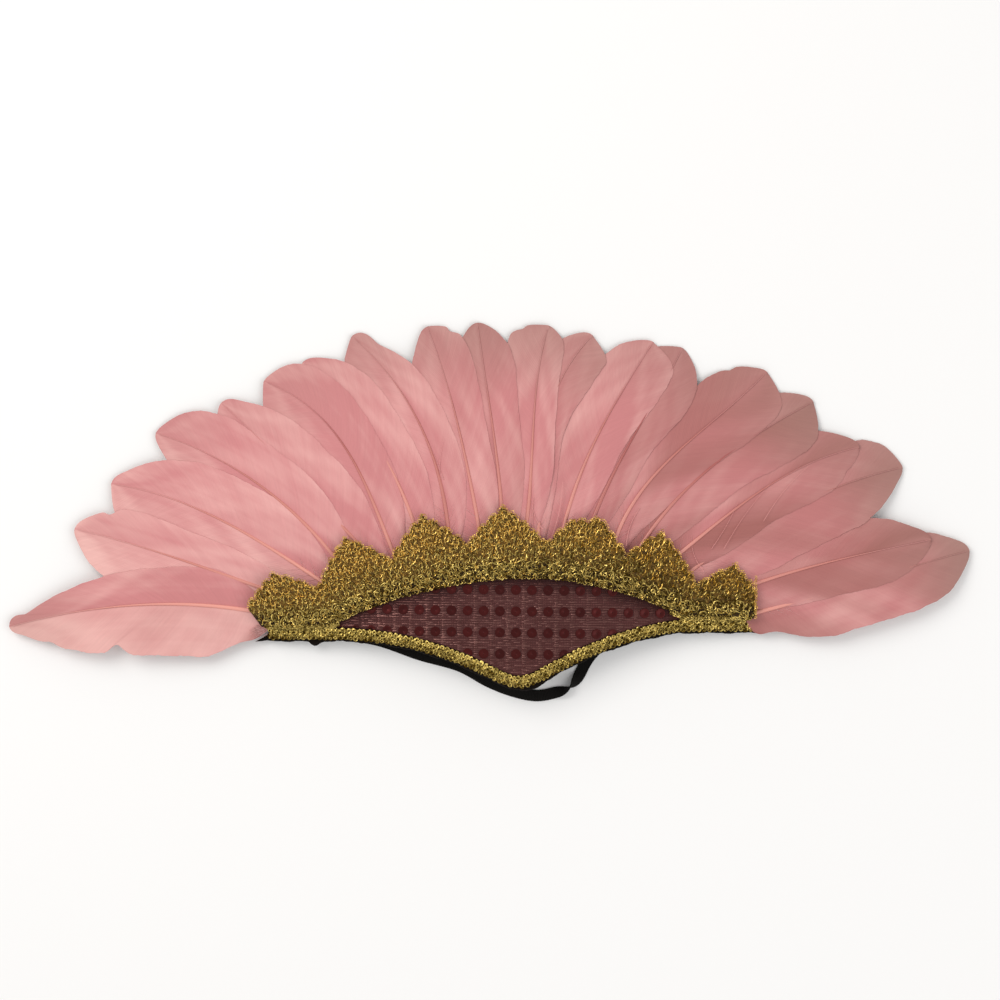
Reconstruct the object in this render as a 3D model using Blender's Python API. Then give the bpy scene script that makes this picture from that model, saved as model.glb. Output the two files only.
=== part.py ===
"""Carnival feather headdress lying flat on its back: a black felt base with a
sequined cloth panel, gold lace and braid trims, an elastic band and twenty dyed
feathers.

Plan positions are polar: a bearing in degrees, clockwise from +Y, and a radius
from the fan centre, a point below the headdress that every arc of it shares.
+X runs to the wearer's left wing, +Y to the feather tips and +Z out of the front.
The base is bowed a little in front of the elastic, and bow() gives its height.
"""
import math

import bmesh
import bpy
from mathutils import Vector

MM = 0.001

# Base, bearings in degrees, lengths in millimetres.
PANEL_RADIUS = 180.4        # upper edge of the cloth panel, an arc about the fan centre
FELT_ABOVE = 11.9           # felt beyond the panel, hidden by the lace
FELT_RADIUS = PANEL_RADIUS + FELT_ABOVE
POINT_RADIUS = 0.754 * PANEL_RADIUS     # lowest point of the panel
POINT_BEARING = 1.6
POINT_ROUND = 3.0           # degrees over which the lower edge turns at its point
WING_LINE_LEFT = 0.8764 * PANEL_RADIUS  # height of each straight wing edge above the fan centre
WING_LINE_RIGHT = 0.8975 * PANEL_RADIUS
WING_START_LEFT = -28.2     # bearing at which the lower edge becomes straight
WING_START_RIGHT = 26.0
FELT_END_LEFT = -36.3
FELT_END_RIGHT = 35.0

FELT_THICK = 2.0
FELT_SHOW = 0.6             # rim of felt seen beyond the braid
CLOTH_THICK = 1.0
LAY_GAP = 0.38              # clearance between layers that are laid on each other

# The bow of the base.
BASE_MID_X = -0.0194 * PANEL_RADIUS     # middle of the base from the fan centre
BOW = 10.0
BOW_FLAT = 0.11 * PANEL_RADIUS  # half width of the flat middle that bears on the forehead
BOW_REACH = 0.743 * PANEL_RADIUS    # half width over which the bow runs out
BACK_LEVEL = 1.35           # underside of the felt where the bow ends

# Edge braid.
BRAID_WIDTH = 5.6
BRAID_THICK = 2.2
BRAID_GAP = 0.3
BRAID_ENDS = (-35.7, 34.3)
BRAID_PIECES = 54

# Pointed lace.
LACE_ENDS = (-36.3, 34.9)
LACE_RIGHT_X = 0.633 * PANEL_RADIUS     # the right end is cut off straight here
LACE_ABOVE = 17.2           # notches between the points, beyond the panel
LACE_VALLEY = PANEL_RADIUS + LACE_ABOVE
LACE_POINT = 16.6           # how far the points stand out beyond the notches
LACE_PITCH = 10.05          # degrees from point to point
LACE_FIRST = -31.2          # bearing of the first point
LACE_POINTS = 7
LACE_SKEW = (0.42, 0.68)    # place of the first and of the last notch between its two points
LACE_END_FALL = 0.81        # rate at which the edge falls away beyond the first and last points
LACE_PICOT = 1.3            # small loops along the edge
LACE_PICOTS = 5             # loops to a point
LACE_THICK = 1.4
LACE_OVER_PANEL = 1.8       # how far the lace laps over the panel
LACE_COVER = 3.35           # underside above the mean feather surface
LACE_CLIMB = 8.5            # distance over which the lace climbs on to the feathers
LACE_STEPS = 76

# Sequins.
SEQUIN_RADIUS = 2.3
SEQUIN_RAISE = 0.4
SEQUIN_SINK = 0.3
SEQUIN_SIDES = 8
SEQUIN_PITCH_X = 7.5
SEQUIN_PITCH_Y = 9.95
SEQUIN_FIRST_X = -5.2       # a column of sequins from the fan centre
SEQUIN_TOP_Y = PANEL_RADIUS - 4.7   # the highest row above the fan centre
SEQUIN_ROWS = 4
SEQUIN_MARGIN = 2.7         # sequin centre to the panel edge

# Elastic band.
BAND_WIDTH = 5.4
BAND_THICK = 0.9
BAND_STEPS = 72
BAND_LIFT = 26.0            # length at each end that rises to the felt
TWIST_AT = 0.616            # middle of the half twist, share of the route
TWIST_SPAN = 0.085
BAND_ROUTE = (              # middle of the band, shares of the panel radius
    dict(x=-0.6142, y=0.8886), dict(x=-0.5493, y=0.8731), dict(x=-0.4457, y=0.8575),
    dict(x=-0.3420, y=0.8392), dict(x=-0.2384, y=0.8032), dict(x=-0.1347, y=0.7738),
    dict(x=-0.0571, y=0.7323), dict(x=0.0078, y=0.7073), dict(x=0.0671, y=0.6962),
    dict(x=0.1186, y=0.7051), dict(x=0.1530, y=0.7184), dict(x=0.1729, y=0.7406),
    dict(x=0.2073, y=0.7999), dict(x=0.2644, y=0.8498), dict(x=0.3470, y=0.8858),
    dict(x=0.4557, y=0.9069), dict(x=0.5776, y=0.9246),
)

# Feathers.
VANE_HALF = 17.0            # usual width of one side of a vane
VANE_THICK = 0.45
VANE_EDGE = 0.30
QUILL_HALF = 1.0            # half width of the quill at its root
QUILL_HALF_TIP = 0.3
QUILL_RIDGE = 0.45          # how far the quill stands up from the vane at its root
QUILL_RIDGE_TIP = 0.12
VANE_MIN = 0.7              # half width left at the tip
FEATHER_STEPS = 11
LAYER_STEP = 1.32           # one feather above the next
ROOT_ABOVE = 8.9            # feather roots beyond the panel
ROOT_RADIUS = PANEL_RADIUS + ROOT_ABOVE
FEATHER_LENGTH = 109.7
TIP_RADIUS = ROOT_RADIUS + FEATHER_LENGTH   # where the mean surface reaches its tip height
PITCH_ROOT = 3.2            # degrees from feather to feather at the roots
PITCH_TIP = 5.4
MIDDLE_FEATHER = 10.6       # the place in the row that has bearing zero
ROW_ENDS = (0.6, 19.9)      # the stack is level outside these places in the row
ROOT_LEVEL = 4.35           # mean feather surface above the back of the felt
TIP_LEVEL = 2.05            # mean feather surface above the rest surface at the tips
ARCH = 5.5
ROOT_SHARE = 0.14           # vane width at the root, share of the full width

# root, tip: bearings; reach: radius of the tip, share of TIP_RADIUS; bend_root, bend_tip:
# sideways pull of the quill, share of its length; left, right: widths of the vane's sides,
# shares of VANE_HALF; blunt_left, blunt_right: how late each side closes to the tip; narrow:
# share of the right side kept at mid length; full: share of the length at which the vane is
# full; start: radius of the root, share of ROOT_RADIUS, for the two that begin further out.
FEATHERS = (
    dict(root=-34.3, tip=-56.1, reach=0.9478, bend_root=0.086, bend_tip=0.076,
         left=1.42, right=1.07, blunt_left=5.2, blunt_right=3.3,
         narrow=1.00, full=0.27, start=1.0486),
    dict(root=-28.3, tip=-45.1, reach=0.9662, bend_root=0.008, bend_tip=0.033,
         left=1.24, right=0.98, blunt_left=11.0, blunt_right=11.0,
         narrow=0.80, full=0.46),
    dict(root=-24.3, tip=-39.8, reach=0.9799, bend_root=0.046, bend_tip=0.108,
         left=1.06, right=1.26, blunt_left=40.0, blunt_right=6.0,
         narrow=1.00, full=0.46),
    dict(root=-22.0, tip=-33.8, reach=1.0020, bend_root=0.113, bend_tip=0.123,
         left=1.05, right=1.22, blunt_left=11.0, blunt_right=13.0,
         narrow=0.85, full=0.46),
    dict(root=-17.2, tip=-27.3, reach=0.9906, bend_root=0.005, bend_tip=0.023,
         left=1.06, right=1.18, blunt_left=14.0, blunt_right=6.6,
         narrow=0.95, full=0.46),
    dict(root=-15.4, tip=-23.0, reach=0.9926, bend_root=0.070, bend_tip=0.224,
         left=1.08, right=1.07, blunt_left=26.0, blunt_right=18.0,
         narrow=0.85, full=0.46),
    dict(root=-11.8, tip=-19.1, reach=0.9987, bend_root=0.105, bend_tip=0.129,
         left=1.06, right=1.00, blunt_left=24.0, blunt_right=11.0,
         narrow=0.90, full=0.46),
    dict(root=-8.6, tip=-14.2, reach=1.0161, bend_root=0.141, bend_tip=0.156,
         left=1.08, right=1.08, blunt_left=20.0, blunt_right=4.1,
         narrow=0.74, full=0.46),
    dict(root=-3.6, tip=-7.5, reach=1.0084, bend_root=0.020, bend_tip=0.046,
         left=1.04, right=0.88, blunt_left=9.5, blunt_right=28.0,
         narrow=0.85, full=0.36),
    dict(root=-1.0, tip=-3.0, reach=1.0074, bend_root=0.036, bend_tip=0.009,
         left=0.99, right=0.88, blunt_left=11.0, blunt_right=16.0,
         narrow=0.85, full=0.46),
    dict(root=1.2, tip=3.4, reach=1.0033, bend_root=0.040, bend_tip=-0.060,
         left=1.02, right=0.61, blunt_left=34.0, blunt_right=30.0,
         narrow=1.00, full=0.46),
    dict(root=3.8, tip=7.4, reach=0.9946, bend_root=-0.073, bend_tip=-0.195,
         left=0.98, right=0.82, blunt_left=10.5, blunt_right=60.0,
         narrow=0.62, full=0.46),
    dict(root=6.6, tip=12.9, reach=1.0010, bend_root=-0.104, bend_tip=-0.057,
         left=1.01, right=0.98, blunt_left=15.0, blunt_right=44.0,
         narrow=0.80, full=0.46),
    dict(root=9.6, tip=15.6, reach=1.0033, bend_root=-0.080, bend_tip=-0.006,
         left=0.95, right=1.00, blunt_left=24.0, blunt_right=15.0,
         narrow=0.62, full=0.46),
    dict(root=13.7, tip=23.4, reach=1.0124, bend_root=-0.198, bend_tip=-0.024,
         left=1.06, right=1.11, blunt_left=14.0, blunt_right=34.0,
         narrow=0.80, full=0.46),
    dict(root=16.2, tip=28.3, reach=1.0020, bend_root=-0.140, bend_tip=-0.086,
         left=1.01, right=1.11, blunt_left=11.0, blunt_right=32.0,
         narrow=0.85, full=0.46),
    dict(root=18.8, tip=34.0, reach=0.9776, bend_root=-0.023, bend_tip=-0.121,
         left=1.06, right=1.05, blunt_left=9.0, blunt_right=12.0,
         narrow=0.85, full=0.46),
    dict(root=22.4, tip=38.3, reach=0.9926, bend_root=-0.074, bend_tip=-0.088,
         left=1.06, right=1.35, blunt_left=22.0, blunt_right=9.0,
         narrow=0.95, full=0.46),
    dict(root=27.5, tip=44.7, reach=0.9358, bend_root=-0.051, bend_tip=-0.029,
         left=1.02, right=1.04, blunt_left=8.5, blunt_right=10.0,
         narrow=0.90, full=0.46),
    dict(root=33.8, tip=48.0, reach=0.9686, bend_root=0.015, bend_tip=-0.014,
         left=1.06, right=1.21, blunt_left=8.0, blunt_right=13.0,
         narrow=1.00, full=0.27, start=1.0407),
)

MATERIALS = (
    dict(name="black wool felt, needled", colour=(0.010, 0.010, 0.011), metal=0.0, rough=0.95),
    dict(name="maroon polyester lame cloth, woven", colour=(0.100, 0.042, 0.050), metal=0.1, rough=0.6),
    dict(name="gold lurex lace, schiffli", colour=(0.380, 0.240, 0.045), metal=0.8, rough=0.4),
    dict(name="gold lurex braid, plaited", colour=(0.420, 0.280, 0.060), metal=0.8, rough=0.4),
    dict(name="black elastic, braided", colour=(0.014, 0.014, 0.015), metal=0.0, rough=0.8),
    dict(name="pink goose feather, dyed", colour=(0.730, 0.290, 0.280), metal=0.0, rough=0.7),
)
FELT, CLOTH, LACE, BRAID, ELASTIC, FEATHER = range(len(MATERIALS))


def smooth(value):
    """An S curve from 0 to 1."""
    value = min(1.0, max(0.0, value))
    return value * value * (3.0 - 2.0 * value)


def mix(low, high, share):
    return low + (high - low) * share


def place(bearing, radius):
    """Plan point of a bearing in degrees and a radius in millimetres."""
    turn = math.radians(bearing)
    return radius * math.sin(turn), radius * math.cos(turn)


def bearing_radius(x, y):
    return math.degrees(math.atan2(x, y)), math.hypot(x, y)


def bow(x):
    """Height that the bow adds to the base."""
    run = (abs(x - BASE_MID_X) - BOW_FLAT) / (BOW_REACH - BOW_FLAT)
    run = min(1.0, max(0.0, run))
    return BOW * math.cos(0.5 * math.pi * run) ** 2


def lower_edge(bearing):
    """Radius of the lower edge of the panel and, on the wings, of the lace."""
    if bearing < WING_START_LEFT:
        return WING_LINE_LEFT / math.cos(math.radians(bearing))
    if bearing > WING_START_RIGHT:
        return WING_LINE_RIGHT / math.cos(math.radians(bearing))
    away = bearing - POINT_BEARING
    start, line = WING_START_LEFT, WING_LINE_LEFT
    if away > 0.0:
        start, line = WING_START_RIGHT, WING_LINE_RIGHT
    # The climb ends exactly where the straight wing edge begins.
    full = math.hypot(start - POINT_BEARING, POINT_ROUND) - POINT_ROUND
    climb = (math.hypot(away, POINT_ROUND) - POINT_ROUND) / full
    return mix(POINT_RADIUS, line / math.cos(math.radians(start)), climb)


def offset_path(points, distance):
    """The plan path moved sideways to its right by the distance."""
    moved = []
    last = len(points) - 1
    for index, (x, y) in enumerate(points):
        ax, ay = points[max(0, index - 1)]
        bx, by = points[min(last, index + 1)]
        length = math.hypot(bx - ax, by - ay)
        moved.append((x + distance * (by - ay) / length, y - distance * (bx - ax) / length))
    return moved


def edge_path(first, final, steps, distance):
    """The lower edge from left to right, moved outward by the distance."""
    bearings = [mix(first, final, step / steps) for step in range(steps + 1)]
    return offset_path([place(bearing, lower_edge(bearing)) for bearing in bearings], distance)


def mean_surface(x, y):
    """Height of the middle of the feather stack."""
    share = (math.hypot(x, y) - ROOT_RADIUS) / (TIP_RADIUS - ROOT_RADIUS)
    share = min(1.0, max(0.0, share))
    root = BACK_LEVEL + ROOT_LEVEL + bow(x)
    return mix(root, TIP_LEVEL, smooth(share)) + ARCH * math.sin(math.pi * share)


def feather_surface(index, x, y):
    """Middle height of one feather. Each one lies a layer above the next at every place."""
    bearing, radius = bearing_radius(x, y)
    share = smooth((radius - ROOT_RADIUS) / (TIP_RADIUS - ROOT_RADIUS))
    position = MIDDLE_FEATHER + bearing / mix(PITCH_ROOT, PITCH_TIP, share)
    position = min(ROW_ENDS[1], max(ROW_ENDS[0], position))
    return mean_surface(x, y) + LAYER_STEP * (position - index)


def lace_underside(x, y):
    bearing, radius = bearing_radius(x, y)
    low = BACK_LEVEL + FELT_THICK + CLOTH_THICK + 2.0 * LAY_GAP + bow(x)
    share = smooth((radius - PANEL_RADIUS + LACE_OVER_PANEL) / LACE_CLIMB)
    return mix(low, mean_surface(x, y) + LACE_COVER, share)


def lace_edge(bearing):
    """Outer radius of the lace: straight sided points with small loops along them."""
    phase = (bearing - LACE_FIRST) / LACE_PITCH
    beyond = max(-phase, phase - (LACE_POINTS - 1))
    skew = mix(*LACE_SKEW, math.floor(phase) / (LACE_POINTS - 2))
    if beyond > 0.0:
        to_point = 1.0 - LACE_END_FALL * beyond
    elif phase % 1.0 < skew:
        to_point = 1.0 - (phase % 1.0) / skew
    else:
        to_point = (phase % 1.0 - skew) / (1.0 - skew)
    loops = abs(math.sin(math.pi * LACE_PICOTS * phase))
    edge = LACE_VALLEY + LACE_POINT * to_point ** 0.85 + LACE_PICOT * (loops - 0.5)
    if bearing > 0.0:
        edge = min(edge, LACE_RIGHT_X / math.sin(math.radians(bearing)))
    return edge


def lace_inner(bearing):
    """Inner radius of the lace: over the panel, or beside the braid on the wings."""
    return max(PANEL_RADIUS - LACE_OVER_PANEL, lower_edge(bearing) + BRAID_GAP)


MATERIAL_CACHE = {}


def material(kind):
    if kind not in MATERIAL_CACHE:
        row = MATERIALS[kind]
        made = bpy.data.materials.new(row["name"])
        made.use_nodes = True
        shader = made.node_tree.nodes["Principled BSDF"]
        shader.inputs["Base Color"].default_value = row["colour"] + (1.0,)
        shader.inputs["Metallic"].default_value = row["metal"]
        shader.inputs["Roughness"].default_value = row["rough"]
        made.diffuse_color = row["colour"] + (1.0,)
        MATERIAL_CACHE[kind] = made
    return MATERIAL_CACHE[kind]


def add_object(name, vertices, faces, kind, round_piece=False):
    """One closed body from vertices in millimetres."""
    mesh = bpy.data.meshes.new(name)
    mesh.from_pydata([Vector(vertex) * MM for vertex in vertices], [], faces)
    work = bmesh.new()
    work.from_mesh(mesh)
    bmesh.ops.recalc_face_normals(work, faces=work.faces)
    work.to_mesh(mesh)
    work.free()
    mesh.materials.append(material(kind))
    if round_piece:
        mesh.polygons.foreach_set("use_smooth", [True] * len(mesh.polygons))
    made = bpy.data.objects.new(name, mesh)
    bpy.context.scene.collection.objects.link(made)
    return made


def grid_slab(upper, lower):
    """Closed slab between two equal grids of points, upper over lower."""
    rows, columns = len(upper), len(upper[0])
    vertices = [point for row in upper for point in row]
    vertices += [point for row in lower for point in row]
    under = rows * columns
    faces = []
    for row in range(rows - 1):
        for column in range(columns - 1):
            a = row * columns + column
            b, c, d = a + 1, a + columns + 1, a + columns
            faces += [(a, b, c), (a, c, d)]
            faces += [(under + a, under + c, under + b), (under + a, under + d, under + c)]
    rim = [column for column in range(columns)]
    rim += [row * columns + columns - 1 for row in range(1, rows)]
    rim += [(rows - 1) * columns + column for column in reversed(range(columns - 1))]
    rim += [row * columns for row in reversed(range(1, rows - 1))]
    for index, a in enumerate(rim):
        b = rim[(index + 1) % len(rim)]
        faces += [(a, under + a, under + b), (a, under + b, b)]
    return vertices, faces


def merge_flats(target):
    """Join coplanar neighbours, so that each flat of the body is one face."""
    work = bmesh.new()
    work.from_mesh(target.data)
    bmesh.ops.dissolve_limit(work, angle_limit=math.radians(0.01), use_dissolve_boundaries=False,
                             verts=work.verts, edges=work.edges)
    work.to_mesh(target.data)
    work.free()


def base_backing():
    steps, across = 34, 2
    outward = BRAID_WIDTH + 2.0 * BRAID_GAP + FELT_SHOW
    low = edge_path(FELT_END_LEFT, FELT_END_RIGHT, steps, outward)
    upper, lower = [], []
    for step, (low_x, low_y) in enumerate(low):
        bearing = mix(FELT_END_LEFT, FELT_END_RIGHT, step / steps)
        high_x, high_y = place(bearing, FELT_RADIUS)
        high_y = max(high_y, low_y + 2.0)
        top_row, bottom_row = [], []
        for part in range(across + 1):
            x = mix(low_x, high_x, part / across)
            y = mix(low_y, high_y, part / across)
            back = BACK_LEVEL + bow(x)
            bottom_row.append((x, y, back))
            top_row.append((x, y, back + FELT_THICK))
        upper.append(top_row)
        lower.append(bottom_row)
    made = add_object("base_backing", *grid_slab(upper, lower), FELT)
    merge_flats(made)
    return made


def sequin_places():
    """Sequin centres: straight rows and columns, kept inside the panel."""
    reach = int(math.ceil(PANEL_RADIUS / SEQUIN_PITCH_X))
    for row in range(SEQUIN_ROWS):
        y = SEQUIN_TOP_Y - row * SEQUIN_PITCH_Y
        for column in range(-reach, reach + 1):
            x = SEQUIN_FIRST_X + column * SEQUIN_PITCH_X
            bearing, radius = bearing_radius(x, y)
            inside = WING_START_LEFT + 4.0 < bearing < WING_START_RIGHT - 3.0
            below_lace = radius < PANEL_RADIUS - LACE_OVER_PANEL - SEQUIN_MARGIN
            if inside and below_lace and radius > lower_edge(bearing) + SEQUIN_MARGIN:
                yield x, y


def join_into(target, cutter):
    """Fuse the second body into the first."""
    fuse = target.modifiers.new("fuse", "BOOLEAN")
    fuse.operation = "UNION"
    fuse.solver = "EXACT"
    fuse.use_self = True
    fuse.object = cutter
    bpy.context.view_layer.update()
    result = bpy.data.meshes.new_from_object(
        target.evaluated_get(bpy.context.evaluated_depsgraph_get()))
    target.modifiers.remove(fuse)
    old = target.data
    target.data = result
    bpy.data.meshes.remove(old)
    bpy.data.objects.remove(cutter, do_unlink=True)


def sequin_panel():
    steps, across = 34, 3
    first, final = WING_START_LEFT + 0.6, WING_START_RIGHT - 0.6
    upper, lower = [], []
    for step in range(steps + 1):
        bearing = mix(first, final, step / steps)
        top_row, bottom_row = [], []
        for part in range(across + 1):
            radius = mix(lower_edge(bearing), PANEL_RADIUS, part / across)
            x, y = place(bearing, radius)
            low = BACK_LEVEL + FELT_THICK + LAY_GAP + bow(x)
            bottom_row.append((x, y, low))
            top_row.append((x, y, low + CLOTH_THICK))
        upper.append(top_row)
        lower.append(bottom_row)
    made = add_object("sequin_panel", *grid_slab(upper, lower), CLOTH)

    vertices, faces = [], []
    for x, y in sequin_places():
        low = BACK_LEVEL + FELT_THICK + LAY_GAP + CLOTH_THICK + bow(x) - SEQUIN_SINK
        start = len(vertices)
        for level in (low, low + SEQUIN_SINK + SEQUIN_RAISE):
            for side in range(SEQUIN_SIDES):
                turn = 2.0 * math.pi * (side + 0.5) / SEQUIN_SIDES
                vertices.append((x + SEQUIN_RADIUS * math.cos(turn),
                                 y + SEQUIN_RADIUS * math.sin(turn), level))
        for side in range(SEQUIN_SIDES):
            after = (side + 1) % SEQUIN_SIDES
            faces.append((start + side, start + after,
                          start + SEQUIN_SIDES + after, start + SEQUIN_SIDES + side))
        faces.append(tuple(start + side for side in reversed(range(SEQUIN_SIDES))))
        faces.append(tuple(start + SEQUIN_SIDES + side for side in range(SEQUIN_SIDES)))
    discs = add_object("sequin_discs", vertices, faces, CLOTH)
    join_into(made, discs)
    return made


def lace_trim():
    across = 4
    upper, lower = [], []
    for step in range(LACE_STEPS + 1):
        bearing = mix(*LACE_ENDS, step / LACE_STEPS)
        inner = lace_inner(bearing)
        outer = max(lace_edge(bearing), inner + 2.0)
        top_row, bottom_row = [], []
        for part in range(across + 1):
            x, y = place(bearing, mix(inner, outer, part / across))
            low = lace_underside(x, y)
            bottom_row.append((x, y, low))
            top_row.append((x, y, low + LACE_THICK))
        upper.append(top_row)
        lower.append(bottom_row)
    return add_object("lace_trim", *grid_slab(upper, lower), LACE, True)


def sweep(rings):
    """Closed body through rings of points, with a flat cap at each end."""
    count = len(rings[0])
    vertices = [point for ring in rings for point in ring]
    faces = []
    for ring in range(len(rings) - 1):
        for side in range(count):
            a = ring * count + side
            b = ring * count + (side + 1) % count
            faces += [(a, b, b + count), (a, b + count, a + count)]
    faces.append(tuple(reversed(range(count))))
    faces.append(tuple((len(rings) - 1) * count + side for side in range(count)))
    return vertices, faces


# Half section of the braid: share of the half width, share of the thickness.
BRAID_SECTION = ((-1.0, 0.0), (-1.0, 0.55), (-0.6, 1.0), (0.0, 0.86), (0.6, 1.0), (1.0, 0.55), (1.0, 0.0))


def edge_braid():
    middle = BRAID_GAP + 0.5 * BRAID_WIDTH
    path = edge_path(BRAID_ENDS[0], BRAID_ENDS[1], BRAID_PIECES, middle)
    inner = offset_path(path, -0.5 * BRAID_WIDTH)
    rings = []
    for (x, y), (edge_x, edge_y) in zip(path, inner):
        low = BACK_LEVEL + FELT_THICK + LAY_GAP + bow(x)
        rings.append([(x + (edge_x - x) * side, y + (edge_y - y) * side, low + BRAID_THICK * rise)
                      for side, rise in BRAID_SECTION])
    return add_object("edge_braid", *sweep(rings), BRAID, True)


def spline(points, share):
    """A point of the smooth curve through the route, by the share of its knots."""
    spans = len(points) - 1
    place_on = min(spans - 1e-9, max(0.0, share * spans))
    knot = int(place_on)
    t = place_on - knot
    p0, p1 = points[max(0, knot - 1)], points[knot]
    p2, p3 = points[knot + 1], points[min(spans, knot + 2)]
    return tuple(0.5 * (2.0 * b + (c - a) * t + (2.0 * a - 5.0 * b + 4.0 * c - d) * t * t
                        + (3.0 * b - a - 3.0 * c + d) * t ** 3)
                 for a, b, c, d in zip(p0, p1, p2, p3))


def even_route(points, steps):
    """The route at evenly spaced lengths, and its whole length."""
    fine = [spline(points, index / 800.0) for index in range(801)]
    run = [0.0]
    for before, after in zip(fine, fine[1:]):
        run.append(run[-1] + math.dist(before, after))
    route, cursor = [], 0
    for step in range(steps + 1):
        want = run[-1] * step / steps
        while cursor < len(run) - 2 and run[cursor + 1] < want:
            cursor += 1
        part = (want - run[cursor]) / (run[cursor + 1] - run[cursor])
        route.append(tuple(mix(a, b, part) for a, b in zip(fine[cursor], fine[cursor + 1])))
    return route, run[-1]


def head_elastic():
    route, length = even_route([(row["x"] * PANEL_RADIUS, row["y"] * PANEL_RADIUS)
                                for row in BAND_ROUTE], BAND_STEPS)
    side_line = offset_path(route, 1.0)
    rings = []
    for step, ((x, y), (side_x, side_y)) in enumerate(zip(route, side_line)):
        share = step / BAND_STEPS
        turn = math.pi * smooth((share - TWIST_AT) / TWIST_SPAN + 0.5)
        flat, steep = math.cos(turn), math.sin(turn)
        half_height = 0.5 * (BAND_WIDTH * abs(steep) + BAND_THICK * abs(flat))
        to_end = min(share, 1.0 - share) * length
        seat = BACK_LEVEL + bow(x) - LAY_GAP - 0.5 * BAND_THICK
        middle = mix(seat, half_height, smooth(to_end / BAND_LIFT))
        ring = []
        for wide, thick in ((-0.5, -0.5), (0.5, -0.5), (0.5, 0.5), (-0.5, 0.5)):
            along = wide * BAND_WIDTH * flat - thick * BAND_THICK * steep
            rise = wide * BAND_WIDTH * steep + thick * BAND_THICK * flat
            ring.append((x + (side_x - x) * along, y + (side_y - y) * along, middle + rise))
        rings.append(ring)
    return add_object("head_elastic", *sweep(rings), ELASTIC)


def quill_point(row, share):
    """Plan point of the quill line, and the unit direction to its right."""
    start_x, start_y = place(row["root"], row.get("start", 1.0) * ROOT_RADIUS)
    end_x, end_y = place(row["tip"], row["reach"] * TIP_RADIUS)
    run_x, run_y = end_x - start_x, end_y - start_y
    # Two sideways pulls bend the line as a cubic curve.
    pull_root = row["bend_root"] * 3.0 * (1.0 - share) ** 2 * share
    pull_tip = row["bend_tip"] * 3.0 * (1.0 - share) * share * share
    slope = row["bend_root"] * 3.0 * (1.0 - share) * (1.0 - 3.0 * share)
    slope += row["bend_tip"] * 3.0 * share * (2.0 - 3.0 * share)
    aside = pull_root + pull_tip
    x = start_x + run_x * share + run_y * aside
    y = start_y + run_y * share - run_x * aside
    along_x, along_y = run_x + run_y * slope, run_y - run_x * slope
    length = math.hypot(along_x, along_y)
    return x, y, along_y / length, -along_x / length


def vane_width(row, side, share):
    """Half width of one side of the vane at a share of the length."""
    rise = ROOT_SHARE + (1.0 - ROOT_SHARE) * math.sin(0.5 * math.pi * min(1.0, share / row["full"]))
    close = 1.0 - share ** row["blunt_" + side]
    width = row[side] * VANE_HALF * rise * close
    if side == "right":
        width *= mix(row["narrow"], 1.0, smooth((share - 0.5) / 0.35))
    return max(width, VANE_MIN)


def feather(number, row):
    upper, lower = [], []
    for step in range(FEATHER_STEPS + 1):
        even = step / FEATHER_STEPS
        # Stations stand closer together towards the tip, where the outline turns.
        share = 1.0 - (1.0 - even) ** 1.35
        x, y, right_x, right_y = quill_point(row, share)
        quill = mix(QUILL_HALF, QUILL_HALF_TIP, share)
        ridge = mix(QUILL_RIDGE, QUILL_RIDGE_TIP, share)
        left = max(vane_width(row, "left", share), quill + 0.3)
        right = max(vane_width(row, "right", share), quill + 0.3)
        section = ((-left, VANE_EDGE, 0.0), (-mix(quill, left, 0.5), VANE_THICK, 0.0),
                   (-quill, VANE_THICK, 0.0), (0.0, VANE_THICK, ridge), (quill, VANE_THICK, 0.0),
                   (mix(quill, right, 0.5), VANE_THICK, 0.0), (right, VANE_EDGE, 0.0))
        top_row, bottom_row = [], []
        for aside, thick, proud in section:
            px, py = x + right_x * aside, y + right_y * aside
            middle = feather_surface(number, px, py)
            top_row.append((px, py, middle + 0.5 * thick + proud))
            bottom_row.append((px, py, middle - 0.5 * thick))
        upper.append(top_row)
        lower.append(bottom_row)
    return add_object("feather_%02d" % number, *grid_slab(upper, lower), FEATHER, True)


def centre_on_floor(objects):
    """Bring the middle of the footprint to the origin and the lowest point to z = 0."""
    corners = [vertex.co for item in objects for vertex in item.data.vertices]
    low = Vector([min(corner[axis] for corner in corners) for axis in range(3)])
    high = Vector([max(corner[axis] for corner in corners) for axis in range(3)])
    shift = Vector((-0.5 * (low.x + high.x), -0.5 * (low.y + high.y), -low.z))
    for item in objects:
        for vertex in item.data.vertices:
            vertex.co += shift


def main():
    for item in list(bpy.data.objects):
        bpy.data.objects.remove(item, do_unlink=True)
    bpy.context.scene.unit_settings.system = "METRIC"
    bpy.context.scene.unit_settings.scale_length = 1.0
    pieces = [base_backing(), sequin_panel(), lace_trim(), edge_braid(), head_elastic()]
    pieces += [feather(number, row) for number, row in enumerate(FEATHERS, start=1)]
    centre_on_floor(pieces)


main()
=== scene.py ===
"""Carnival feather headdress, dressed over its solids.

Plan positions are polar: a bearing in degrees, clockwise from +Y, and a radius in
millimetres from the fan centre, the point that all the arcs of the base share. Heights
are millimetres above the surface that the headdress lies on. The first functions repeat
the shape of the solids, and every cloth, yarn and feather piece is laid on them.
"""
import math

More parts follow.
